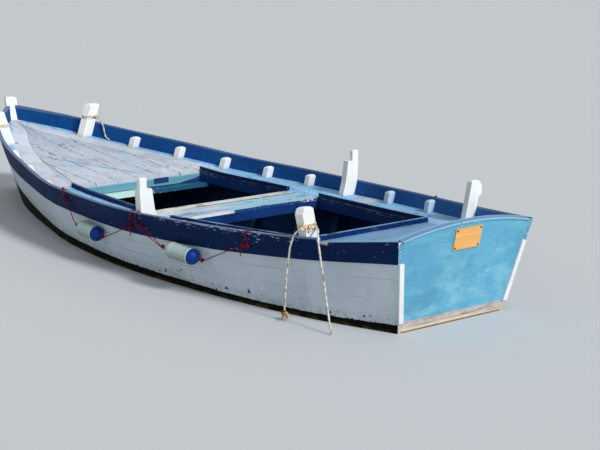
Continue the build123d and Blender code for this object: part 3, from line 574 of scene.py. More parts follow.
@dataclass(frozen=True)
class DeckPaint(OldPaint):
    """Weathered deck: flaking pale paint over light blue, and long dark cracks."""

    cracks: float = 0.5
    streaked: float = 0.5
    second: Colour = srgb(150, 186, 214)
    crack_dirt: Colour = srgb(44, 50, 62)
    grime: Colour = srgb(128, 130, 136)

    def layers(self) -> Signal:
        """The paint with streaks of its second colour.

        Returns:
            The colour.
        """
        limit = 0.66 - 0.2 * self.streaked
        streaks = self.strokes(1.7, 7, 0.7, (6, 0, 2)).step(limit, limit + 0.07)
        return self.coat().cover(streaks, self.second)

    def seams(self) -> object:
        """Where dirt shows in the seams."""
        return 0.0

    def surface(self) -> tuple[Signal, Signal]:
        """The layers, cracked along the grain.

        Returns:
            The colour, and where the paint is gone.
        """
        colour, gone = self.wear(self.layers())
        lines = self.noise(self.grain.value, 2.4, 5, 0.55, (0.5, 8, 0), 0.15)
        where = self.noise(EVEN, 4.5, 3, 0.5, (1, 1, 9)).step(0.62 - 0.25 * self.cracks, 0.68)
        crack = (abs(lines - 0.5).step(0.012, 0.003) * where).most(self.seams())
        grime = self.noise(EVEN, 6, 8, 0.7, (2, 0, 5)).step(0.55, 0.8)
        colour = colour.cover(crack * 0.85, self.crack_dirt).cover(grime * 0.35, self.grime)
        self.bump(1.0 - crack, 0.0025, 0.8)
        return colour, gone


@dataclass(frozen=True)
class ForedeckPaint(DeckPaint):
    """The foredeck, with broken dark lines in the seams between its planks."""

    plank: float = 0.1717
    scored_aft: tuple[float, float] = (0.656, 0.485)
    scored_fore: tuple[float, float] = (1.596, 0.298)
    shade: Colour = srgb(152, 164, 182)
    streak: Colour = srgb(128, 166, 200)
    streak_slope: float = 0.479
    streak_start: float = -0.453

    def beside(self) -> Signal:
        """Distance inboard of the line that is scored beside the port covering board."""
        (x_aft, y_aft), (x_fore, y_fore) = self.scored_aft, self.scored_fore
        return (self.x - x_aft) * ((y_fore - y_aft) / (x_fore - x_aft)) + y_aft - self.y

    def layers(self) -> Signal:
        """The paint, light blue outboard of the scored line and in a wide streak.

        Returns:
            The colour.
        """
        colour = super().layers().cover(self.x.step(0.9, 2.2) * 0.5, self.shade)
        blue = self.blend(0.45, self.coat(), self.second)
        colour = colour.cover(self.beside().step(0.004, -0.004), blue)
        haze = self.noise((0.7, 3, 1), 2.2, 3, 0.5, (4, 2, 0)).step(0.5, 0.68)
        off = abs(self.x * -self.streak_slope + self.y - self.streak_start)
        near = (off + self.noise((3, 12, 1), 3, 4, 0.6) * 0.06).step(0.062, 0.04)
        reach = self.x.step(0.7, 0.85) * self.x.step(1.46, 1.38)
        return colour.cover(haze * 0.4, self.second).cover(near * reach * 0.8, self.streak)

    def seams(self) -> Signal:
        """Broken lines along each seam, and the scored line.

        Returns:
            How dark each place is.
        """
        off = self.math("PINGPONG", self.y + 12 * self.plank, self.plank / 2)
        broken = self.noise((9, 20, 1), 2.2, 4, 0.65, (0, 3, 3)).step(0.50, 0.56)
        scored = abs(self.beside()).step(0.005, 0.002) * self.x.step(1.62, 1.5)
        return (off.step(0.0075, 0.003) * broken).most(scored * 0.8)


@dataclass(frozen=True)
class SideDeckPaint(DeckPaint):
    """Covering boards: light blue, and nearly white beside the foredeck except along their outer edge."""

    fore: Colour = LILAC_WHITE
    nicks: Colour = srgb(24, 36, 62)
    bare: Colour = srgb(206, 198, 196)
    bare_place: Point = (-0.95, -0.70, 0.485)

    def layers(self) -> Signal:
        """The paint, which turns from blue to white at the foredeck.

        Returns:
            The colour.
        """
        rough = self.noise((1, 5, 1), 5, 5, 0.6, (0, 0, 4))
        off = rough.wander(0.08, self.along(DECK_EDGE) - abs(self.y))
        colour = super().layers().cover(rough.step(0.54, 0.62) * 0.5, self.fore)
        white = off.step(0.045, 0.065) * self.x.step(0.60, 0.68)
        colour = colour.cover(white, self.brushed(self.fore))
        nicks = self.noise((0.55, 1, 1), 26, 3, 0.55, (8, 0, 0))
        gather = off.step(0.07, 0.13) * self.x.step(0.6, 0.2) * 0.06
        colour = colour.cover((nicks + gather).step(0.70, 0.715), self.nicks)
        bare = self.near(self.bare_place, 0.15, 0.4) * rough.step(0.40, 0.52)
        return colour.cover(bare * 0.85, self.bare).cover(self.inward(), self.brushed(EDGE_NAVY))


@dataclass(frozen=True)
class CoamingPaint(DeckPaint):
    """Navy coamings, whose tops are faded light blue, to port only in streaks."""

    faded: Colour = srgb(122, 164, 192)

    def layers(self) -> Signal:
        """Navy, light blue where it faces up.

        Returns:
            The colour.
        """
        streaks = self.noise((0.6, 6, 1), 5, 4, 0.6, (0, 0, 3)).step(0.50, 0.60)
        top = self.normal[2].step(0.7, 0.8) * streaks.most(self.y.step(0.30, 0.20))
        return super().layers().cover(top, self.brushed(self.faded))


@dataclass(frozen=True)
class BridgePaint(DeckPaint):
    """The bridge: light blue to starboard, whiter to port, an open seam and a peeled aft edge."""

    seam: float = -0.399
    starboard: Colour = srgb(142, 190, 214)
    starboard_strokes: Colour = srgb(172, 206, 222)
    cream: Colour = srgb(222, 218, 204)
    wood: Colour = srgb(158, 146, 128)
    nicks: Colour = srgb(34, 46, 62)
    peeled: Colour = srgb(226, 228, 226)

    def layers(self) -> Signal:
        """The paint, the port half's peeling and the dark nicks.

        Returns:
            The colour.
        """
        rough = self.noise(EVEN, 9, 6, 0.7, (0, 0, 6))
        place = rough.wander(0.7, self.y)
        strokes = self.strokes(2.2, 6, 0.65, (2, 6, 1)).step(0.42, 0.6)
        starboard = self.blend(strokes, self.starboard, self.starboard_strokes)
        colour = super().layers().cover(place.step(0.16, 0.0), starboard)
        front = self.x.step(self.seam, self.seam + 0.01) * place.step(-0.75, -0.4)
        colour = colour.cover(front * 0.8, self.blend(rough.step(0.52, 0.6), self.cream, self.wood))
        nicks = self.noise((1, 0.5, 1), 24, 4, 0.6, (5, 5, 0)).step(0.635, 0.655)
        peeled = rough.wander(0.3, self.y).step(0.08, 0.12)
        edge = self.brushed(INSIDE_NAVY).cover(peeled, self.peeled)
        return colour.cover(nicks, self.nicks).cover(self.normal[0].step(-0.6, -0.8), edge)

    def seams(self) -> Signal:
        """The open seam near the forward edge, which fades to port."""
        return abs(self.x - self.seam).step(0.011, 0.006) * self.y.step(0.45, 0.1)


@dataclass(frozen=True)
class BeamPaint(OldPaint):
    """Teal beams. The main one has navy arches under its ends and a navy patch."""

    navy: Colour = srgb(17, 56, 112)
    rim: Colour = srgb(150, 196, 214)
    patch: tuple[float, float, float] = (-0.186, 0.062, 0.449)
    arch: Line = ((0.0, 0.0), (0.33, 0.395), (0.40, 0.415), (0.46, 0.424), (0.50, 0.433), (0.55, 0.448),
                  (0.605, 0.466), (0.80, 0.52), (1.0, 0.56))

    def coat(self) -> Signal:
        """Teal, navy below the arch line and in the patch.

        Returns:
            The colour.
        """
        middle, half, height = self.patch
        arch = self.along(self.arch, (0.0, 1.0), self.y * -1.0)
        under = (self.z - arch).step(0.001, -0.001) * self.y.step(-0.30, -0.34)
        across = abs(self.y - middle).step(half + 0.002, half - 0.002)
        block = across * self.z.step(height - 0.032, height - 0.028)
        teal = super().coat().cover(self.z.step(0.451, 0.453) * 0.7, self.rim)
        return teal.cover(under.most(block), self.brushed(self.navy))


@dataclass(frozen=True)
class ShelfPaint(OldPaint):
    """The shelf: mint at port, with a darker turquoise at starboard that is painted shade."""

    # Painted shade: the darker turquoise that stands for the shaded starboard part.
    far: Colour = srgb(24, 84, 116)

    def coat(self) -> Signal:
        """Mint, and to starboard the darker turquoise of painted shade, with a line between them that noise breaks up.
        """
        place = self.noise(EVEN, 14, 5, 0.6).wander(0.1, self.y)
        return super().coat().cover(place.step(-0.04, -0.08), self.brushed(self.far))


@dataclass(frozen=True)
class TransomPaint(OldPaint):
    """Sky blue transom, clouded and scratched, with a weathered band over the water."""

    pale: Colour = srgb(142, 200, 220)
    deep: Colour = srgb(62, 138, 172)
    scratches: Colour = srgb(205, 222, 232)
    band_top: float = 0.214
    band: Colour = srgb(204, 194, 184)
    band_worn: Colour = srgb(166, 156, 156)
    cream: Colour = srgb(222, 208, 180)
    lines: Colour = srgb(104, 92, 74)
    foot: Colour = srgb(96, 60, 28)

    def weathered(self, rough: Signal) -> Signal:
        """The band's faded timber: cream low down, with fine lines and a brown foot.

        Args:
            rough: Fine noise.

        Returns:
            The colour.
        """
        wet = self.z - WATERLINE
        band = self.blend(rough.step(0.35, 0.68), self.band, self.band_worn)
        band = band.cover(wet.step(0.026, 0.020) * rough.step(0.38, 0.55), self.cream)
        lines = self.noise((1, 1.5, 40), 2, 4, 0.6).step(0.55, 0.62)
        return band.cover(lines * 0.6, self.lines).cover(wet.step(0.014, 0.006) * 0.8, self.foot)

    def surface(self) -> tuple[Signal, Signal]:
        """Clouds, scratches and wear, over the band.

        Returns:
            The colour, and where the paint is gone.
        """
        cloud = self.noise((1, 1.6, 3.4), 2.6, 5, 0.6, (0, 2, 0)).step(0.44, 0.66)
        colour = self.coat().cover(cloud * (self.z.step(0.62, 0.26) * 0.45 + 0.25), self.pale)
        deep = self.noise((1, 2.6, 2), 3, 6, 0.65, (1, 4, 3)).step(0.5, 0.72)
        scratch = abs(self.noise((1, 1.4, 20), 2.4, 3, 0.5, (3, 3, 0)) - 0.5).step(0.006, 0.001)
        few = self.noise(EVEN, 5, 2, 0.5, (5, 5, 0)).step(0.52, 0.6)
        colour = colour.cover(deep * 0.45, self.deep).cover(scratch * few * 0.6, self.scratches)
        colour, gone = self.wear(colour)
        rough = self.noise((1, 1, 2.6), 16, 7, 0.7)
        above = self.z - rough.wander(0.012, self.band_top)
        return colour.cover(above.step(0.003, -0.003), self.weathered(rough)), gone


@dataclass(frozen=True)
class CapPaint(OldPaint):
    """The transom's cap: its aft face like the transom, its top faded, with a white line along its edge."""

    faded: Colour = srgb(96, 138, 176)
    line: Colour = srgb(240, 243, 243)

    def surface(self) -> tuple[Signal, Signal]:
        """The two paints and the line.

        Returns:
            The colour, and where the paint is gone.
        """
        top = self.normal[2].step(0.6, 0.7)
        colour, gone = self.wear(self.coat().cover(top, self.brushed(self.faded)))
        broken = self.noise((1, 6, 1), 3, 4, 0.6, (2, 0, 0)).step(0.30, 0.42)
        rounded = self.bevel(0.008)
        line = self.worn(rounded) * broken * self.split(rounded)[2].step(0.15, 0.3)
        return colour.cover(line * 0.9, self.line), gone


@dataclass(frozen=True)
class Varnish(Shader):
    """Varnished timber."""

    name: str = "varnished_plate"
    light: Colour = srgb(240, 184, 112)
    dark: Colour = srgb(226, 162, 88)
    pores: Colour = srgb(168, 108, 56)
    edge: Colour = srgb(232, 206, 160)

    def material(self) -> bpy.types.Material:
        """The whole finish.

        Returns:
            The material.
        """
        rings = self.noise(Grain.ATHWART.value, 5, 6, 0.6)
        pores = self.noise((60, 3, 60), 4, 4, 0.6).step(0.6, 0.72)
        colour = self.blend(rings.step(0.35, 0.7), self.light, self.dark).cover(pores * 0.3, self.pores)
        self.bump(rings, 0.0006, 0.4)
        return self.finish(colour.cover(self.worn(self.bevel(0.004)) * 0.5, self.edge), 0.42)


@dataclass(frozen=True)
class FenderVinyl(Shader):
    """Moulded vinyl, a pale body with blue ends. fore and aft are where the blue starts."""

    name: str
    fore: Point
    aft: Point
    body: Colour = srgb(166, 188, 190)
    scuffs: Colour = srgb(168, 180, 148)
    dirt: Colour = srgb(128, 126, 92)
    rim: Colour = srgb(206, 220, 222)
    ends: Colour = srgb(3, 52, 126)
    end_scuffs: Colour = srgb(14, 78, 142)

    def material(self) -> bpy.types.Material:
        """The body scuffed green and dirty underneath, and the ends.

        Returns:
            The material.
        """
        fore, aft = Vector(self.fore), Vector(self.aft)
        middle, half = (fore + aft) / 2, (fore - aft).length / 2
        place = self.node("VectorMath", {0: self.place, 1: middle}, operation="SUBTRACT").outputs[0]
        along = self.measure("DOT_PRODUCT", place, (fore - aft).normalized())
        scuff = self.noise(EVEN, 22, 7, 0.7)
        body = self.blend(scuff.step(0.42, 0.7) * 0.5, self.body, self.scuffs)
        body = body.cover(self.z.step(middle.z + 0.012, middle.z - 0.04) * 0.75, self.dirt)
        body = body.cover(abs(along + (half - 0.006)).step(0.008, 0.004) * 0.6, self.rim)
        ends = self.blend(scuff.step(0.5, 0.75) * 0.4, self.ends, self.end_scuffs)
        blue = along.step(0.001 - half, -half - 0.001).most(along.step(half + 0.030, half + 0.034))
        self.bump(scuff, 0.0008, 0.4)
        return self.finish(body.cover(blue, ends), 0.42, 0.12)


@dataclass(frozen=True)
class Fibre(Shader):
    """Twisted rope."""

    name: str
    colour: Colour
    soiled: Colour

    def material(self) -> bpy.types.Material:
        """The whole finish.

        Returns:
            The material.
        """
        patches = self.noise(EVEN, 46, 5, 0.65).step(0.42, 0.62)
        fibres = self.noise(EVEN, 420, 4, 0.7)
        colour = self.blend(patches, self.colour, self.soiled)
        self.bump(fibres, 0.0009, 0.6)
        return self.finish(colour.cover(fibres.step(0.5, 0.8) * 0.5, shaded(self.colour, 0.45)), 0.9, 0.1)


@dataclass(frozen=True)
class BoltMetal(Shader):
    """Tarnished bolt heads."""

    name: str = "tarnished_bolt"
    dark: Colour = srgb(34, 32, 30)
    rust: Colour = srgb(84, 66, 48)

    def material(self) -> bpy.types.Material:
        """The whole finish.

        Returns:
            The material.
        """
        spots = self.noise(EVEN, 300, 4, 0.6)
        self.bsdf.inputs["Metallic"].default_value = 0.6
        self.bump(spots, 0.0004, 0.5)
        return self.finish(self.blend(spots, self.dark, self.rust), 0.55)


@dataclass(frozen=True)
class Finishes:
    """The finish of every part that keeps its plain shape."""

    def paints(self) -> list[tuple[object, str]]:
        """Each finish with the parts that wear it. A star stands for port_ and starboard_.

        Returns:
            Pairs of a finish and the names.
        """
        upright = {"grain": Grain.UPRIGHT}
        athwart = {"grain": Grain.ATHWART}
        return [
            (HeadPaint("white_timber_paint", srgb(230, 231, 228), srgb(170, 176, 184), flaked=0.08, chipped=0.4,
                       patchy=0.04, aft=srgb(230, 231, 228), **upright), "*bow_post *middle_post *quarter_post"),
            (HeadPaint("frame_head_paint", srgb(226, 229, 230), srgb(170, 178, 188), flaked=0.08, chipped=0.4,
                       patchy=0.05, aft=srgb(178, 205, 226), **upright), "*frames"),
            (OldPaint("white_trim_paint", srgb(226, 228, 227), srgb(190, 196, 200), flaked=0.06, chipped=0.3,
                      patchy=0.04, **upright), "stem *corner_trim"),
            (OldPaint("inside_navy_paint", srgb(10, 48, 108), srgb(72, 118, 168), flaked=0.10, chipped=0.3,
                      patchy=0.2, shine=0.12), "bridge_beams aft_deck_beam *carlins"),
            (OldPaint("floor_navy_paint", srgb(18, 44, 76), srgb(50, 66, 80), flaked=0.25, chipped=0.3,
                      patchy=0.25, shine=0.1), "floor_timbers bottom_boards *chine_log"),
            (OldPaint("bottom_paint", srgb(24, 26, 22), srgb(60, 62, 44), flaked=0.25, chipped=0.2),
             "bottom_planks keel_strip skeg *bilge_runner"),
            (SideDeckPaint("light_blue_paint", LIGHT_BLUE, WORN_WHITE, flaked=0.2, chipped=0.4, patchy=0.1,
                           cracks=0.3, streaked=0.6, second=srgb(112, 158, 200)), "*covering_board"),
            (CoamingPaint("coaming_paint", EDGE_NAVY, srgb(120, 158, 196), flaked=0.16, chipped=0.7, patchy=0.16,
                          cracks=0.1, streaked=0.2, second=srgb(14, 56, 112), shine=0.08),
             "cockpit_end *forward_coaming *aft_coaming"),
            (ForedeckPaint("foredeck_paint", LILAC_WHITE, srgb(140, 176, 208), flaked=0.22, chipped=0.3,
                           patchy=0.06, cracks=1.0, streaked=0.35, second=srgb(150, 184, 212)), "foredeck_planks"),
            (BridgePaint("bridge_paint", srgb(206, 214, 222), srgb(222, 226, 226), timber=srgb(150, 136, 120),
                         flaked=0.3, chipped=0.3, patchy=0.08, cracks=0.8, streaked=0.8,
                         second=srgb(126, 170, 206), **athwart), "bridge_planks"),
            (BeamPaint("teal_paint", srgb(98, 150, 168), srgb(60, 116, 156), flaked=0.08, chipped=0.3,
                       patchy=0.08, **athwart), "foredeck_beams"),
            (ShelfPaint("mint_paint", srgb(206, 244, 236), srgb(206, 240, 236), flaked=0.12, chipped=0.3,
                        patchy=0.05, **athwart), "shelf_plank"),
            (StrakePaint("navy_strake_paint", SHADED_OUTER_NAVY, srgb(176, 190, 206), flaked=0.0, chipped=0.0, patchy=0.1,
                         gloss=0.55, shine=0.05), "*sheer_strake"),
            (SidePaint("white_side_paint", srgb(190, 203, 213), srgb(160, 170, 180), flaked=0.03, chipped=0.0,
                       patchy=0.05, gloss=0.6, shine=0.05), "*side_planks"),
            (TransomPaint("sky_blue_transom_paint", SKY_BLUE, srgb(150, 200, 222), flaked=0.02, chipped=0.2,
                          patchy=0.08, gloss=0.55, shine=0.2, **athwart), "transom"),
            (CapPaint("cap_paint", SKY_BLUE, srgb(226, 230, 230), flaked=0.08, chipped=0.3, patchy=0.08,
                      **athwart), "transom_cap"),
            (DeckPaint("aft_deck_paint", srgb(116, 160, 198), WORN_WHITE, flaked=0.16, chipped=0.4, patchy=0.1,
                       cracks=0.3, streaked=0.5, second=srgb(96, 144, 190), **athwart), "aft_deck"),
            (Varnish(), "name_board"),
        ]

    def dress(self, nodes: dict[str, bpy.types.Object]) -> None:
        """Give each part its material.

        Args:
            nodes: The frame's parts.
        """
        for paint, parts in self.paints():
            material = paint.material()
            for part in parts.split():
                sides = ("port_", "starboard_") if part.startswith("*") else ("",)
                for side in sides:
                    mesh = nodes[side + part.lstrip("*")].data
                    mesh.materials.clear()
                    mesh.materials.append(material)
                    LOG.info("dressed %s", side + part.lstrip("*"))


def new_piece(name: str, bm: bmesh.types.BMesh, finish: bpy.types.Material) -> bpy.types.Object:
    """Make an object of a finished mesh, and let it ride on the boat.

    Args:
        name: The piece's name.
        bm: Its mesh, which is used up.
        finish: Its material.

    Returns:
        The object.
    """
    mesh = bpy.data.meshes.new(name)
    for face in bm.faces:
        face.smooth = True
    bm.to_mesh(mesh)
    bm.free()
    mesh.materials.append(finish)
    piece = bpy.data.objects.new(name, mesh)
    bpy.context.scene.collection.objects.link(piece)
    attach(piece, BODY)
    LOG.info("built %s", name)
    return piece


def draw_outline(bm: bmesh.types.BMesh, outline: list[tuple[float, float]]) -> list[bmesh.types.BMVert]:
    """Draw a line of pairs of radius and height, to be spun.

    Args:
        bm: The mesh that it goes into.
        outline: The pairs.

    Returns:
        The line's points.
    """
    radius, height = outline[0]
    made = list(bmesh.ops.create_vert(bm, co=(radius, 0, height))["vert"])
    for radius, height in outline[1:]:
        made += bmesh.ops.extrude_vert_indiv(bm, verts=made[-1:])["verts"]
        made[-1].co = (radius, 0, height)
    return made


def spin_whole(bm: bmesh.types.BMesh, points: list[bmesh.types.BMVert], axis: Point, centre: Point | Vector,
               steps: int) -> None:
    """Turn a line all the way round.

    Args:
        bm: The mesh.
        points: The line's points.
        axis: What it turns about.
        centre: A point on that axis.
        steps: How many steps it takes.
    """
    edges = list({edge for point in points for edge in point.link_edges})
    bmesh.ops.spin(bm, geom=points + edges, axis=axis, cent=centre, angle=2 * math.pi, steps=steps, use_merge=True)


@dataclass(frozen=True)
class Strand:
    """Rope that follows a smooth line through the control points of its route.

    lobes is how many yarns show in its section, and sides its corners. step, the distance between its
    sections, and lay, the length of one turn of its twist, are in diameters.
    """

    name: str
    route: list[Vector]
    diameter: float
    finish: bpy.types.Material
    slot: str
    lobes: int = 3
    sides: int = 12
    step: float = 0.35
    lay: float = 3.4
    waist: float = 0.87

    def line(self) -> list[Vector]:
        """Even points along the smooth line.

        Returns:
            The points.
        """
        curve = bpy.data.curves.new(self.name + "_line", "CURVE")
        curve.dimensions = "3D"
        curve.resolution_u = 24
        spline = curve.splines.new("NURBS")
        spline.points.add(len(self.route) - 1)
        for knot, place in zip(spline.points, self.route):
            knot.co = (*place, 1.0)
        spline.order_u = 3
        spline.use_endpoint_u = True
        holder = bpy.data.objects.new(self.name + "_line", curve)
        mesh = bpy.data.meshes.new_from_object(holder)
        dense = [vertex.co.copy() for vertex in mesh.vertices]
        bpy.data.objects.remove(holder)
        bpy.data.meshes.remove(mesh)
        bpy.data.curves.remove(curve)
        length = length_of(dense)
        count = max(4, round(length / (self.step * self.diameter)))
        points, travelled, target = [dense[0]], 0.0, length / count
        for a, b in zip(dense, dense[1:]):
            run = (b - a).length
            while run > 0 and travelled + run >= target * len(points) and len(points) < count:
                points.append(a.lerp(b, (target * len(points) - travelled) / run))
            travelled += run
        return points + [dense[-1]]

    def sweep(self, points: list[Vector]) -> bpy.types.Object:
        """Sweep the rope's section along its line.

        Args:
            points: Even points of its line.

        Returns:
            The finished piece, which rides on the boat.
        """
        bm = bmesh.new()
        bmesh.ops.create_circle(bm, segments=self.sides, radius=self.diameter / 2)
        for vertex in bm.verts:
            turn = math.atan2(vertex.co.y, vertex.co.x)
            vertex.co *= self.waist + (1 - self.waist) * math.cos(self.lobes * turn)
        bm.verts.ensure_lookup_table()
        section = [vertex.co.copy() for vertex in bm.verts]
        ring, edges, first = list(bm.verts), list(bm.edges), list(bm.edges)
        frame = (points[1] - points[0]).to_track_quat("Z", "Y")
        travelled = 0.0
        for i, place in enumerate(points):
            ahead = points[min(i + 1, len(points) - 1)] - points[max(i - 1, 0)]
            frame = (frame @ UPWARDS).rotation_difference(ahead) @ frame
            if i:
                travelled += (place - points[i - 1]).length
                extruded = bmesh.ops.extrude_edge_only(bm, edges=edges)["geom"]
                edges = [part for part in extruded if isinstance(part, bmesh.types.BMEdge) and part.is_boundary]
                fresh = {part for part in extruded if isinstance(part, bmesh.types.BMVert)}
                ring = [next(edge.other_vert(vertex) for edge in vertex.link_edges if edge.other_vert(vertex) in fresh)
                        for vertex in ring]
            twist = Matrix.Rotation(2 * math.pi * travelled / (self.lay * self.diameter), 3, "Z")
            for vertex, corner in zip(ring, section):
                vertex.co = place + frame @ (twist @ corner)
        bmesh.ops.holes_fill(bm, edges=first + edges, sides=self.sides)
        bmesh.ops.recalc_face_normals(bm, faces=bm.faces)
        return new_piece(self.name, bm, self.finish)

    def build(self) -> bpy.types.Object:
        """The whole rope."""
        return self.sweep(self.line())


def length_of(points: list[Vector]) -> float:
    """The length of a line through points."""
    return sum((b - a).length for a, b in zip(points, points[1:]))


def winding(corners: list[Point], low: float, high: float, quarters: int, corner_run: float = 0.005) -> list[Vector]:
    """Control points of rope wound round a square post, two at each of its corners.

    Args:
        corners: Each corner's x, its y at the lowest turn and its y at the highest.
        low: Height of the lowest turn.
        high: Height of the highest turn.
        quarters: How many corners it goes round.
        corner_run: From a corner to the control points beside it.

    Returns:
        The control points.
    """
    turns = []
    for i in range(quarters):
        x, y_low, y_high = corners[i % 4]
        share = i / (quarters - 1)
        turns.append(Vector((x, y_low + (y_high - y_low) * share, low + (high - low) * share)))
    route = [turns[0]]
    for before, corner, after in zip(turns, turns[1:], turns[2:]):
        route += [corner + (side - corner).normalized() * corner_run for side in (before, after)]
    return route + [turns[-1]]


def trefoil(centre: Vector, size: float, turn: float, facing: Vector, steps: int = 16) -> list[Vector]:
    """Control points of a simple knot.

    Args:
        centre: Its middle.
        size: From its middle to its outermost line.
        turn: How far it is turned about the way it faces, in degrees.
        facing: The way it faces.
        steps: How many points it has.

    Returns:
        The control points.
    """
    pose = facing.to_track_quat("Z", "Y").to_matrix() @ Matrix.Rotation(math.radians(turn), 3, "Z")
    route = []
    for i in range(steps + 1):
        t = 2 * math.pi * i / steps
        loop = Vector((math.sin(t) + 2 * math.sin(2 * t), math.cos(t) - 2 * math.cos(2 * t), -1.3 * math.sin(3 * t)))
        route.append(centre + pose @ loop * size / 3)
    return route


@dataclass(frozen=True)
class Fender:
    """A round vinyl fender with domed ends, and a neck with an eye at each."""

    node: str
    middle: Vector
    axis: Vector
    finish: bpy.types.Material
    body: float = 0.168
    radius: float = 0.048
    dome: float = 0.043
    rim: float = 0.0010
    rim_inner: tuple[float, float] = (0.010, 0.007)
    rim_outer: float = 0.002
    neck: float = 0.015
    neck_shoulder: tuple[float, float] = (0.0012, 0.003)
    neck_end: float = 0.0595
    neck_rounding: Line = ((0.0015, 0.005), (0.0045, 0.001))
    tip: float = 0.080
    eye: float = 0.010
    eye_thickness: float = 0.005
    loop: float = 0.0125
    loop_out: float = 0.011
    knot: float = 0.176
    sides: int = 40

    def eye_place(self) -> float:
        """Distance of each eye's middle from the fender's."""
        return self.body / 2 + self.tip - self.eye - self.eye_thickness

    def half(self) -> list[tuple[float, float]]:
        """Radius and place along the axis, from the middle to one neck's end.

        Returns:
            The pairs.
        """
        end, radius, rim, neck = self.body / 2, self.radius, self.radius + self.rim, self.neck
        steep = math.acos(neck / radius)
        dome = [(radius * math.cos(steep * i / 8), end + self.dome * math.sin(steep * i / 8)) for i in range(1, 9)]
        before, after = self.rim_inner
        thinner, above = self.neck_shoulder
        rounding = [(neck - inward, end + self.neck_end - back) for inward, back in self.neck_rounding]
        return [(radius, 0.0), (radius, end / 2), (radius, end - before), (rim, end - after),
                (rim, end - self.rim_outer), (radius, end), *dome, (neck - thinner, end + self.dome + above),
                *rounding, (0.0, end + self.neck_end)]

    def build(self) -> bpy.types.Object:
        """Spin the fender's outline, and set an upright eye on each neck.

        Returns:
            The fender, in the place of its plain one.
        """
        bm = bmesh.new()
        points = draw_outline(bm, [(r, -h) for r, h in reversed(self.half())] + self.half()[1:])
        spin_whole(bm, points, (0, 0, 1), (0, 0, 0), self.sides)
        bmesh.ops.remove_doubles(bm, verts=bm.verts, dist=MERGE)
        for end in (1, -1):
            centre = Vector((0, 0, end * self.eye_place()))
            ring = bmesh.ops.create_circle(bm, segments=12, radius=self.eye_thickness)["verts"]
            bmesh.ops.rotate(bm, verts=ring, matrix=Matrix.Rotation(math.pi / 2, 3, "X"))
            bmesh.ops.translate(bm, verts=ring, vec=centre + Vector((self.eye, 0, 0)))
            spin_whole(bm, ring, (0, 1, 0), centre, 28)
        bmesh.ops.remove_doubles(bm, verts=bm.verts, dist=MERGE)
        bmesh.ops.recalc_face_normals(bm, faces=bm.faces)
        across = UPWARDS.cross(self.axis).normalized()
        pose = Matrix((across, self.axis.cross(across), self.axis)).transposed()
        bmesh.ops.transform(bm, matrix=pose.to_4x4(), verts=bm.verts)
        bmesh.ops.translate(bm, verts=bm.verts, vec=self.middle)
        piece = new_piece(f"{self.node}_body", bm, self.finish)
        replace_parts(piece, self.node)
        return piece

    def ring(self, end: int, steps: int = 10) -> list[Vector]:
        """Control points of a loop of line through the fore (1) or aft (-1) eye.

        Args:
            end: 1 for the fore eye, -1 for the aft one.
            steps: How many points it has.

        Returns:
            The control points.
        """
        out = self.axis * end
        centre = self.middle + out * (self.eye_place() + self.loop_out)
        turns = [2 * math.pi * i / steps for i in range(steps + 1)]
        return [centre + self.loop * (out * math.cos(turn) + UPWARDS * math.sin(turn)) for turn in turns]


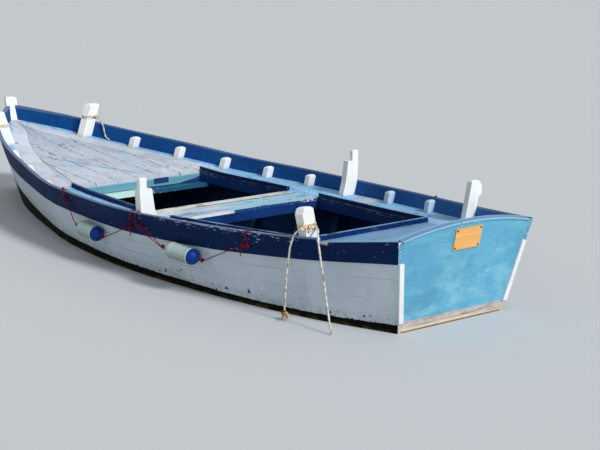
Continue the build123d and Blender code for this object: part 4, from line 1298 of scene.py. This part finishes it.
@dataclass(frozen=True)
class Ropes:
    """Every rope: the free ones, each in the place of its plain tube, their knots, and the lashings.

    Points of their routes are in millimetres.
    """

    white: bpy.types.Material
    red: bpy.types.Material
    tan: bpy.types.Material
    pale: bpy.types.Material
    fenders: tuple[Fender, ...]
    rope_diameter: float = 0.012
    line_diameter: float = 0.006
    quarter_lashing: float = 0.011
    bow_lashing: float = 0.009
    knot_size: float = 0.0125
    quarter_heights: tuple[float, float] = (0.655, 0.693)
    quarter_knot_size: float = 0.0165
    bow_heights: tuple[float, float] = (0.719, 0.746)
    bow_knot_size: float = 0.013
    frayed: float = 0.0115
    frayed_middle: Point = (-1.927, 0.698, 0.182)
    frayed_reach: float = 0.00629
    frayed_height: float = 0.0155
    frayed_drop: float = 0.0008
    frayed_turns: float = 1.94

    def slot(self, finish: bpy.types.Material) -> str:
        """The record's slot of a rope's finish."""
        return {self.red: "red_rope", self.white: "white_rope"}.get(finish, "tan_rope")

    def free(self, name: str, points: tuple[Point, ...], diameter: float, finish: bpy.types.Material, far_end: str,
             lay: str, with_pieces: tuple[bpy.types.Object, ...] = (), replaces: bool = True) -> None:
        """Build one free rope.

        Args:
            name: Its CAD node, or its own name where it has none.
            points: Its control points.
            diameter: Its diameter.
            finish: Its material.
            far_end: What is on its end. Not used.
            lay: How it hangs. Not used.
            with_pieces: What else is on it. Not used.
            replaces: Whether it stands for a CAD node.
        """
        route = [Vector(point) / 1000 for point in points]
        strand = Strand(f"{name}_strands", route, diameter, finish, self.slot(finish))
        path = strand.line()
        piece = strand.sweep(path)
        if replaces:
            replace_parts(piece, name)
        round(length_of(path), 3)

    def line(self, name: str, points: tuple[Point, ...], far_end: str = "knot", lay: str = "taut",
             with_pieces: tuple[bpy.types.Object, ...] = (), replaces: bool = False) -> None:
        """One red line. Its arguments are those of a free rope."""
        self.free(name, points, self.line_diameter, self.red, far_end, lay, with_pieces, replaces)

    def knot(self, name: str, place: Point, size: float, diameter: float, finish: bpy.types.Material, turn: float,
             facing: Point = (0.0, 1.0, 0.1)) -> bpy.types.Object:
        """One knot of two crossing loops.

        Args:
            name: The piece's name.
            place: Its middle, in millimetres.
            size: From its middle to its outermost line, in metres.
            diameter: Its rope's diameter.
            finish: Its material.
            turn: How far it is turned, in degrees.
            facing: The way it faces.

        Returns:
            The knot.
        """
        route = trefoil(Vector(place) / 1000, size, turn, Vector(facing).normalized())
        return Strand(name, route, diameter, finish, self.slot(finish)).build()

    def red_knot(self, name: str, place: Point, turn: float, scale: float = 1.0) -> bpy.types.Object:
        """One knot in a red line."""
        return self.knot(name, place, self.knot_size * scale, self.line_diameter, self.red, turn)

    def eye_ties(self, name: str, fender: Fender, end: int, turn: float) -> tuple[bpy.types.Object, ...]:
        """The loop and the knot that tie a line to a fender's eye.

        Args:
            name: Its name.
            fender: The fender.
            end: 1 for the fore eye, -1 for the aft one.
            turn: How far the knot is turned, in degrees.

        Returns:
            The loop and the knot.
        """
        loop = Strand(f"{name}_loop", fender.ring(end), self.line_diameter, self.red, self.slot(self.red)).build()
        place = fender.middle + fender.axis * (end * fender.knot)
        return loop, self.red_knot(f"{name}_knot", tuple(place * 1000), turn)

    def build(self) -> None:
        """Build every rope."""
        self.white_ropes()
        self.forward_line()
        self.middle_lines()
        self.aft_line()
        self.quarter_turns()
        self.bow_turns()

    def white_ropes(self) -> None:
        """The two ropes from the quarter post, and the tail at the far bow post."""
        self.free("hanging_rope", (
            (-2030.5, 658.6, 674), (-2012, 680, 659), (-1996, 693, 628), (-1982, 698, 585), (-1969, 700, 529),
            (-1956, 700, 455), (-1940, 700, 357), (-1927, 698, 207)),
            self.rope_diameter, self.white, "knot", "hanging", (self.frayed_knot(),))
        self.free("tight_rope", (
            (-2047.8, 573, 668), (-2079, 590, 669), (-2110, 613, 662), (-2138, 637, 637), (-2157, 645, 587),
            (-2312, 677, 105)), self.rope_diameter, self.white, "bare", "taut")
        self.free("bow_rope_tail", (
            (1921, -412, 732), (1906, -420, 727), (1884, -424, 708), (1845, -420, 683), (1820, -418, 640),
            (1799, -414, 600), (1782, -416, 579), (1752, -423, 573)),
            self.rope_diameter, self.white, "bare", "loose", replaces=False)

    def forward_line(self) -> None:
        """The lines from the bulwark to the forward fender's fore eye."""
        ties = self.eye_ties("forward_fender_fore", self.fenders[0], 1, 20)
        start = self.red_knot("forward_tie_knot", (189, 847, 519), 70, 1.1)
        second = self.red_knot("forward_tie_low_knot", (150, 834, 447), 140, 0.9)
        self.line("line_to_forward_fender", (
            (191, 846, 519), (165, 834, 469), (149, 824, 417), (107, 832, 381), (72, 840, 368),
            (44.9, 848, 363.5), (23.2, 849, 362.9)), "object", "taut", (*ties, start, second), True)
        top = self.red_knot("forward_tie_top_knot", (196, 852, 572), 10, 1.1)
        self.line("forward_tie", (
            (190, 848, 516), (193, 852, 545), (195, 856, 563), (195, 847, 569.5), (194, 830, 568.5),
            (192, 818, 556), (191, 812, 530), (190, 810, 506)), "object", "taut", (top,))
        self.red_knot("forward_tie_middle_knot", (178, 849, 500), 40)
        self.red_knot("starboard_bulwark_knot", (-1569, -741, 598), 30, 0.9)
        self.line("forward_second_line", (
            (188, 858, 569), (181, 855, 534), (156, 846, 484), (134, 836, 434), (96, 842, 394), (62, 851, 379),
            (33, 856, 372)))

    def middle_lines(self) -> None:
        """The lines between the two fenders, with their ties over the bulwark."""
        ties = self.eye_ties("forward_fender_aft", self.fenders[0], -1, 100)
        knots = (self.red_knot("middle_tie_fore_knot", (-602, 853, 470), 40, 1.5),
                 self.red_knot("middle_tie_low_knot", (-622, 850, 454), 110, 1.4))
        self.line("line_from_forward_fender", (
            (-305.2, 864.3, 353.1), (-326.9, 865.3, 352.5), (-368, 868, 367), (-572, 855, 452),
            (-606, 849, 468)), "knot", "taut", (*ties, *knots), True)
        self.line("middle_tie_fore_leg", (
            (-601, 850, 470), (-612, 855, 495), (-624, 862, 518), (-640, 870, 548), (-648, 873, 564),
            (-648, 865, 571.5), (-648, 848, 571), (-648, 837, 562), (-648, 831, 538), (-648, 829, 512)))
        knots = (self.red_knot("middle_tie_aft_knot", (-704, 852, 486), 160, 1.5),
                 self.red_knot("middle_line_knot", (-773, 848, 473), 75, 0.85))
        self.line("middle_tie_aft_leg", (
            (-705, 846, 486), (-690, 851, 505), (-682, 858, 525), (-690, 866, 549), (-699, 868.5, 565),
            (-700, 860, 573), (-700, 845, 572.5), (-700, 833, 564), (-700, 827, 540), (-700, 825, 514)))
        ties = self.eye_ties("aft_fender_fore", self.fenders[1], 1, 30)
        self.line("line_to_aft_fender", (
            (-668, 860, 509), (-708, 854, 496), (-749, 849, 481), (-830, 846, 453), (-888, 842, 424),
            (-924.2, 844.1, 403.6), (-953.6, 840.2, 401.7)), "object", "taut", (*ties, *knots), True)
        self.line("middle_second_line", (
            (-690, 861, 492), (-730, 856, 468), (-790, 850, 445), (-850, 848, 426), (-900, 849, 412),
            (-938, 848, 404)))
        self.line("middle_line_tail", (
            (-606, 850, 462), (-600, 848, 445), (-594, 842, 426), (-590, 838, 402)), "bare", "hanging")

    def aft_line(self) -> None:
        """The line from the aft fender to its tie over the bulwark."""
        ties = self.eye_ties("aft_fender_aft", self.fenders[1], -1, 130)
        short = [Vector(point) / 1000 for point in (
            (-1290, 797, 381), (-1286, 800, 392), (-1279, 800, 402), (-1277, 800, 414))]
        tail = Strand("aft_fender_eye_tail", short, self.line_diameter, self.red, self.slot(self.red)).build()
        knots = (self.red_knot("aft_tie_fore_knot", (-1606, 738, 516), 15, 1.5),
                 self.red_knot("aft_tie_aft_knot", (-1637, 733, 512), 95, 1.4))
        self.line("line_from_aft_fender", (
            (-1280.4, 796.4, 380.3), (-1301.9, 793.5, 378.9), (-1342, 787, 399), (-1570, 744, 502),
            (-1606, 737, 513)), "knot", "taut", (*ties, tail, *knots), True)
        self.line("aft_tie_fore_leg", (
            (-1606, 737, 518), (-1616, 741, 545), (-1627, 745, 570), (-1640, 748, 594), (-1645, 746, 606),
            (-1646, 737, 609.5), (-1646, 722, 609), (-1643, 709, 600), (-1626, 704, 580), (-1594, 705, 556)))
        self.line("aft_tie_aft_leg", (
            (-1637, 730, 514), (-1635, 736, 540), (-1634, 742, 570), (-1641, 747, 592), (-1654, 743.5, 605),
            (-1656, 734, 609.5), (-1656, 720, 609), (-1654, 706, 600), (-1646, 699, 576)))
        self.line("aft_line_tail", (
            (-1608, 736, 510), (-1596, 738, 495), (-1580, 737, 476), (-1572, 732, 448)), "bare", "hanging")

    def lashing(self, node: str, route: list[Vector], diameter: float, finish: bpy.types.Material) -> None:
        """Rope wound round a post, in the place of its plain band."""
        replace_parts(Strand(f"{node}_turns", route, diameter, finish, self.slot(self.tan)).build(), node)

    def quarter_turns(self) -> None:
        """The lashing round the port quarter post, and its knots."""
        corners = [(-2.0343, 0.6373, 0.6467), (-2.0343, 0.5593, 0.5687), (-1.9843, 0.5726, 0.5819),
                   (-1.9843, 0.6506, 0.6599)]
        route = winding(corners, *self.quarter_heights, 15)
        self.lashing("port_quarter_lashing", route, self.quarter_lashing, self.pale)
        for name, place, turn in (("upper", (-2044, 588, 684), 25.0), ("lower", (-2044, 612, 670), 85.0),
                                  ("side", (-2033, 651, 676), 50.0)):
            self.knot(f"quarter_{name}_knot", place, self.quarter_knot_size, self.quarter_lashing, self.pale, turn,
                      (-1.0, 0.15, 0.1))

    def bow_turns(self) -> None:
        """The lashings round the two bow posts, and the far one's knot."""
        corners = [(1.9257, 0.4122, 0.4212), (1.9257, 0.3322, 0.3412), (1.9757, 0.3097, 0.3187),
                   (1.9757, 0.3897, 0.3987)]
        for hand, side, finish in (("port", 1, self.pale), ("starboard", -1, self.white)):
            route = winding([(x, side * low, side * high) for x, low, high in corners], *self.bow_heights, 13)
            self.lashing(f"{hand}_bow_lashing", route, self.bow_lashing, finish)
        self.knot("starboard_bow_knot", (1918, -402, 732), self.bow_knot_size, self.bow_lashing, self.white, 30,
                  (-1.0, 0.1, 0.1))

    def frayed_knot(self, steps: int = 26) -> bpy.types.Object:
        """The frayed knot at the hanging rope's end.

        Args:
            steps: How many points it has.

        Returns:
            The knot.
        """
        x, y, z = self.frayed_middle
        route = []
        for i in range(steps + 1):
            turn = 2 * math.pi * self.frayed_turns * i / steps
            reach = self.frayed_reach * (2 + math.cos(1.5 * turn))
            rise = self.frayed_height * math.sin(1.5 * turn) - self.frayed_drop * i / steps
            route.append(Vector((x + reach * math.cos(turn), y + reach * math.sin(turn), z + rise)))
        piece = Strand("hanging_rope_knot_turns", route, self.frayed, self.tan, self.slot(self.tan)).build()
        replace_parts(piece, "hanging_rope_knot")
        return piece


@dataclass(frozen=True)
class NameBoardBolts:
    """Four domed bolt heads on washers, at the corners of the bare board on the transom."""

    finish: bpy.types.Material
    inset: float = 0.011
    rake: float = math.radians(12.0)
    board: float = 0.008
    washer: float = 0.0062
    washer_height: float = 0.0010
    washer_edge: float = 0.0004
    head: float = 0.0044
    head_dome: Line = ((0.0, 0.0034), (0.55, 0.0031), (0.9, 0.0021))

    def build(self) -> bpy.types.Object:
        """Spin each bolt's outline, and set it on the board's face.

        Returns:
            The bolts, as one piece.
        """
        low, high = (Vector(corner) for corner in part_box("name_board"))
        top, bottom = high.z - self.board * math.sin(self.rake), low.z
        outline = [(self.head * share, height) for share, height in self.head_dome]
        outline += [(self.head, self.washer_height), (self.washer - self.washer_edge, self.washer_height),
                    (self.washer, self.washer_height - self.washer_edge), (self.washer, -self.washer_edge)]
        step = self.inset * math.cos(self.rake)
        lean = Matrix.Rotation(-math.pi / 2 - self.rake, 3, "Y")
        bm = bmesh.new()
        for y in (low.y + self.inset, high.y - self.inset):
            for z in (top - step, bottom + step):
                spin_whole(bm, draw_outline(bm, outline), (0, 0, 1), (0, 0, 0), 20)
                fresh = [vertex for vertex in bm.verts if not vertex.tag]
                bmesh.ops.rotate(bm, verts=fresh, matrix=lean)
                bmesh.ops.translate(bm, verts=fresh, vec=(low.x + (top - z) * math.tan(self.rake), y, z))
                for vertex in fresh:
                    vertex.tag = True
        bmesh.ops.remove_doubles(bm, verts=bm.verts, dist=MERGE)
        bmesh.ops.holes_fill(bm, edges=[edge for edge in bm.edges if edge.is_boundary], sides=24)
        bmesh.ops.recalc_face_normals(bm, faces=bm.faces)
        return new_piece("name_board_bolts", bm, self.finish)


@dataclass(frozen=True)
class FloorPaint(Shader):
    """The studio's plain floor."""

    name: str = "pale_floor"
    colour: Colour = srgb(196, 200, 203)

    def material(self) -> bpy.types.Material:
        """The whole finish."""
        return self.finish(self.colour, 0.9, 0.2)


def placed(name: str, data: object) -> bpy.types.Object:
    """A new object in the scene.

    Args:
        name: Its name.
        data: What it shows.

    Returns:
        The object.
    """
    holder = bpy.data.objects.new(name, data)
    bpy.context.scene.collection.objects.link(holder)
    return holder


@dataclass(frozen=True)
class Studio:
    """A pale floor at the waterline, soft light and the camera."""

    place: Point = (-8.093, 5.418, 2.373)
    pitch: float = 12.30
    heading: float = 231.95
    focal_length: float = 89.4
    far: float = 400.0
    floor_size: float = 160.0
    opening: Line = (
        (-2.482, 0.383), (-2.3, 0.448), (-2.0, 0.547), (-1.8, 0.595), (-1.6, 0.632), (-1.4, 0.664), (-1.2, 0.690),
        (-1.0, 0.712), (-0.8, 0.728), (-0.6, 0.739), (-0.4, 0.745), (0.0, 0.726), (0.2, 0.707), (0.4, 0.682),
        (0.6, 0.642), (0.8, 0.592), (1.2, 0.485), (1.6, 0.366), (1.9, 0.251), (2.1, 0.161), (2.2, 0.113),
        (2.3, 0.060), (2.36, 0.028), (2.39, 0.0))
    sun_power: float = 2.8
    sun_width: float = 12.0
    sun_height: float = 36.0
    sun_bearing: float = 5.0
    sky_colour: Colour = (0.93, 0.96, 1.0)
    sky_power: float = 0.5

    def build(self) -> None:
        """Set up everything round the boat."""
        self.camera()
        self.floor()
        self.light()
        bpy.context.scene.view_settings.view_transform = "Standard"

    def camera(self) -> None:
        """The photograph's view."""
        camera = bpy.data.cameras.new("view")
        camera.lens = self.focal_length
        camera.clip_end = self.far
        holder = placed("view", camera)
        holder.location = self.place
        holder.rotation_euler = (math.radians(90 - self.pitch), 0, math.radians(self.heading))
        bpy.context.scene.camera = holder

    def floor(self) -> None:
        """The plain pale floor, open inside the hull."""
        bm = bmesh.new()
        bmesh.ops.create_circle(bm, segments=64, radius=self.floor_size / 2)
        outline = [*self.opening, *((x, -y) for x, y in reversed(self.opening) if y > 0)]
        ring = list(bmesh.ops.create_vert(bm, co=(*outline[0], 0))["vert"])
        for x, y in outline[1:]:
            ring += bmesh.ops.extrude_vert_indiv(bm, verts=ring[-1:])["verts"]
            ring[-1].co = (x, y, 0)
        bmesh.ops.contextual_create(bm, geom=[ring[-1], ring[0]])
        bmesh.ops.triangle_fill(bm, edges=bm.edges[:], use_beauty=True, use_dissolve=False, normal=(0, 0, 1))
        bmesh.ops.translate(bm, verts=bm.verts, vec=(0, 0, WATERLINE))
        mesh = bpy.data.meshes.new("floor")
        bm.to_mesh(mesh)
        bm.free()
        mesh.materials.append(FloorPaint().material())
        placed("floor", mesh)

    def light(self) -> None:
        """One wide, soft light from aft, a little to starboard, and even light from all round."""
        lamp = bpy.data.lights.new("key", "SUN")
        lamp.energy = self.sun_power
        lamp.angle = math.radians(self.sun_width)
        height, bearing = math.radians(self.sun_height), math.radians(self.sun_bearing)
        aim = Vector((math.cos(height) * math.cos(bearing), math.cos(height) * math.sin(bearing), -math.sin(height)))
        placed("key", lamp).rotation_euler = aim.to_track_quat("-Z", "Y").to_euler()
        world = bpy.data.worlds.new("studio")
        world.use_nodes = True
        background = world.node_tree.nodes["Background"]
        background.inputs["Color"].default_value = (*self.sky_colour, 1.0)
        background.inputs["Strength"].default_value = self.sky_power
        bpy.context.scene.world = world


def build_fender(node: str, middle: Point, axis: Point) -> Fender:
    """Build one fender with its own vinyl.

    Args:
        node: Its CAD node.
        middle: Its middle.
        axis: The way its fore end points.

    Returns:
        The fender.
    """
    middle, axis = Vector(middle), Vector(axis).normalized()
    ends = [tuple(middle + axis * reach) for reach in (Fender.body / 2, -Fender.body / 2)]
    fender = Fender(node, middle, axis, FenderVinyl(f"{node}_vinyl", *ends).material())
    fender.build()
    return fender


def main() -> None:
    """Build the boat's looks and report each piece."""
    logging.basicConfig(level=logging.INFO, format="%(name)s: %(message)s")
    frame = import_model()
    Studio().build()
    ropes = [Fibre(f"{name}_rope_fibre", colour, soiled).material() for name, colour, soiled in (
        ("white", srgb(220, 220, 212), srgb(146, 138, 116)), ("red", srgb(140, 32, 42), srgb(72, 20, 38)),
        ("tan", srgb(206, 178, 138), srgb(120, 88, 54)), ("pale", srgb(226, 214, 190), srgb(196, 172, 132)))]
    Finishes().dress(frame["nodes"])
    fenders = (build_fender("forward_fender", (-0.1410, 0.85665, 0.3580), (0.9985, -0.0465, 0.0298)),
               build_fender("aft_fender", (-1.1170, 0.8183, 0.3910), (0.9891, 0.1326, 0.0648)))
    Ropes(*ropes, fenders).build()
    NameBoardBolts(BoltMetal().material()).build()


if __name__ == "__main__":
    main()
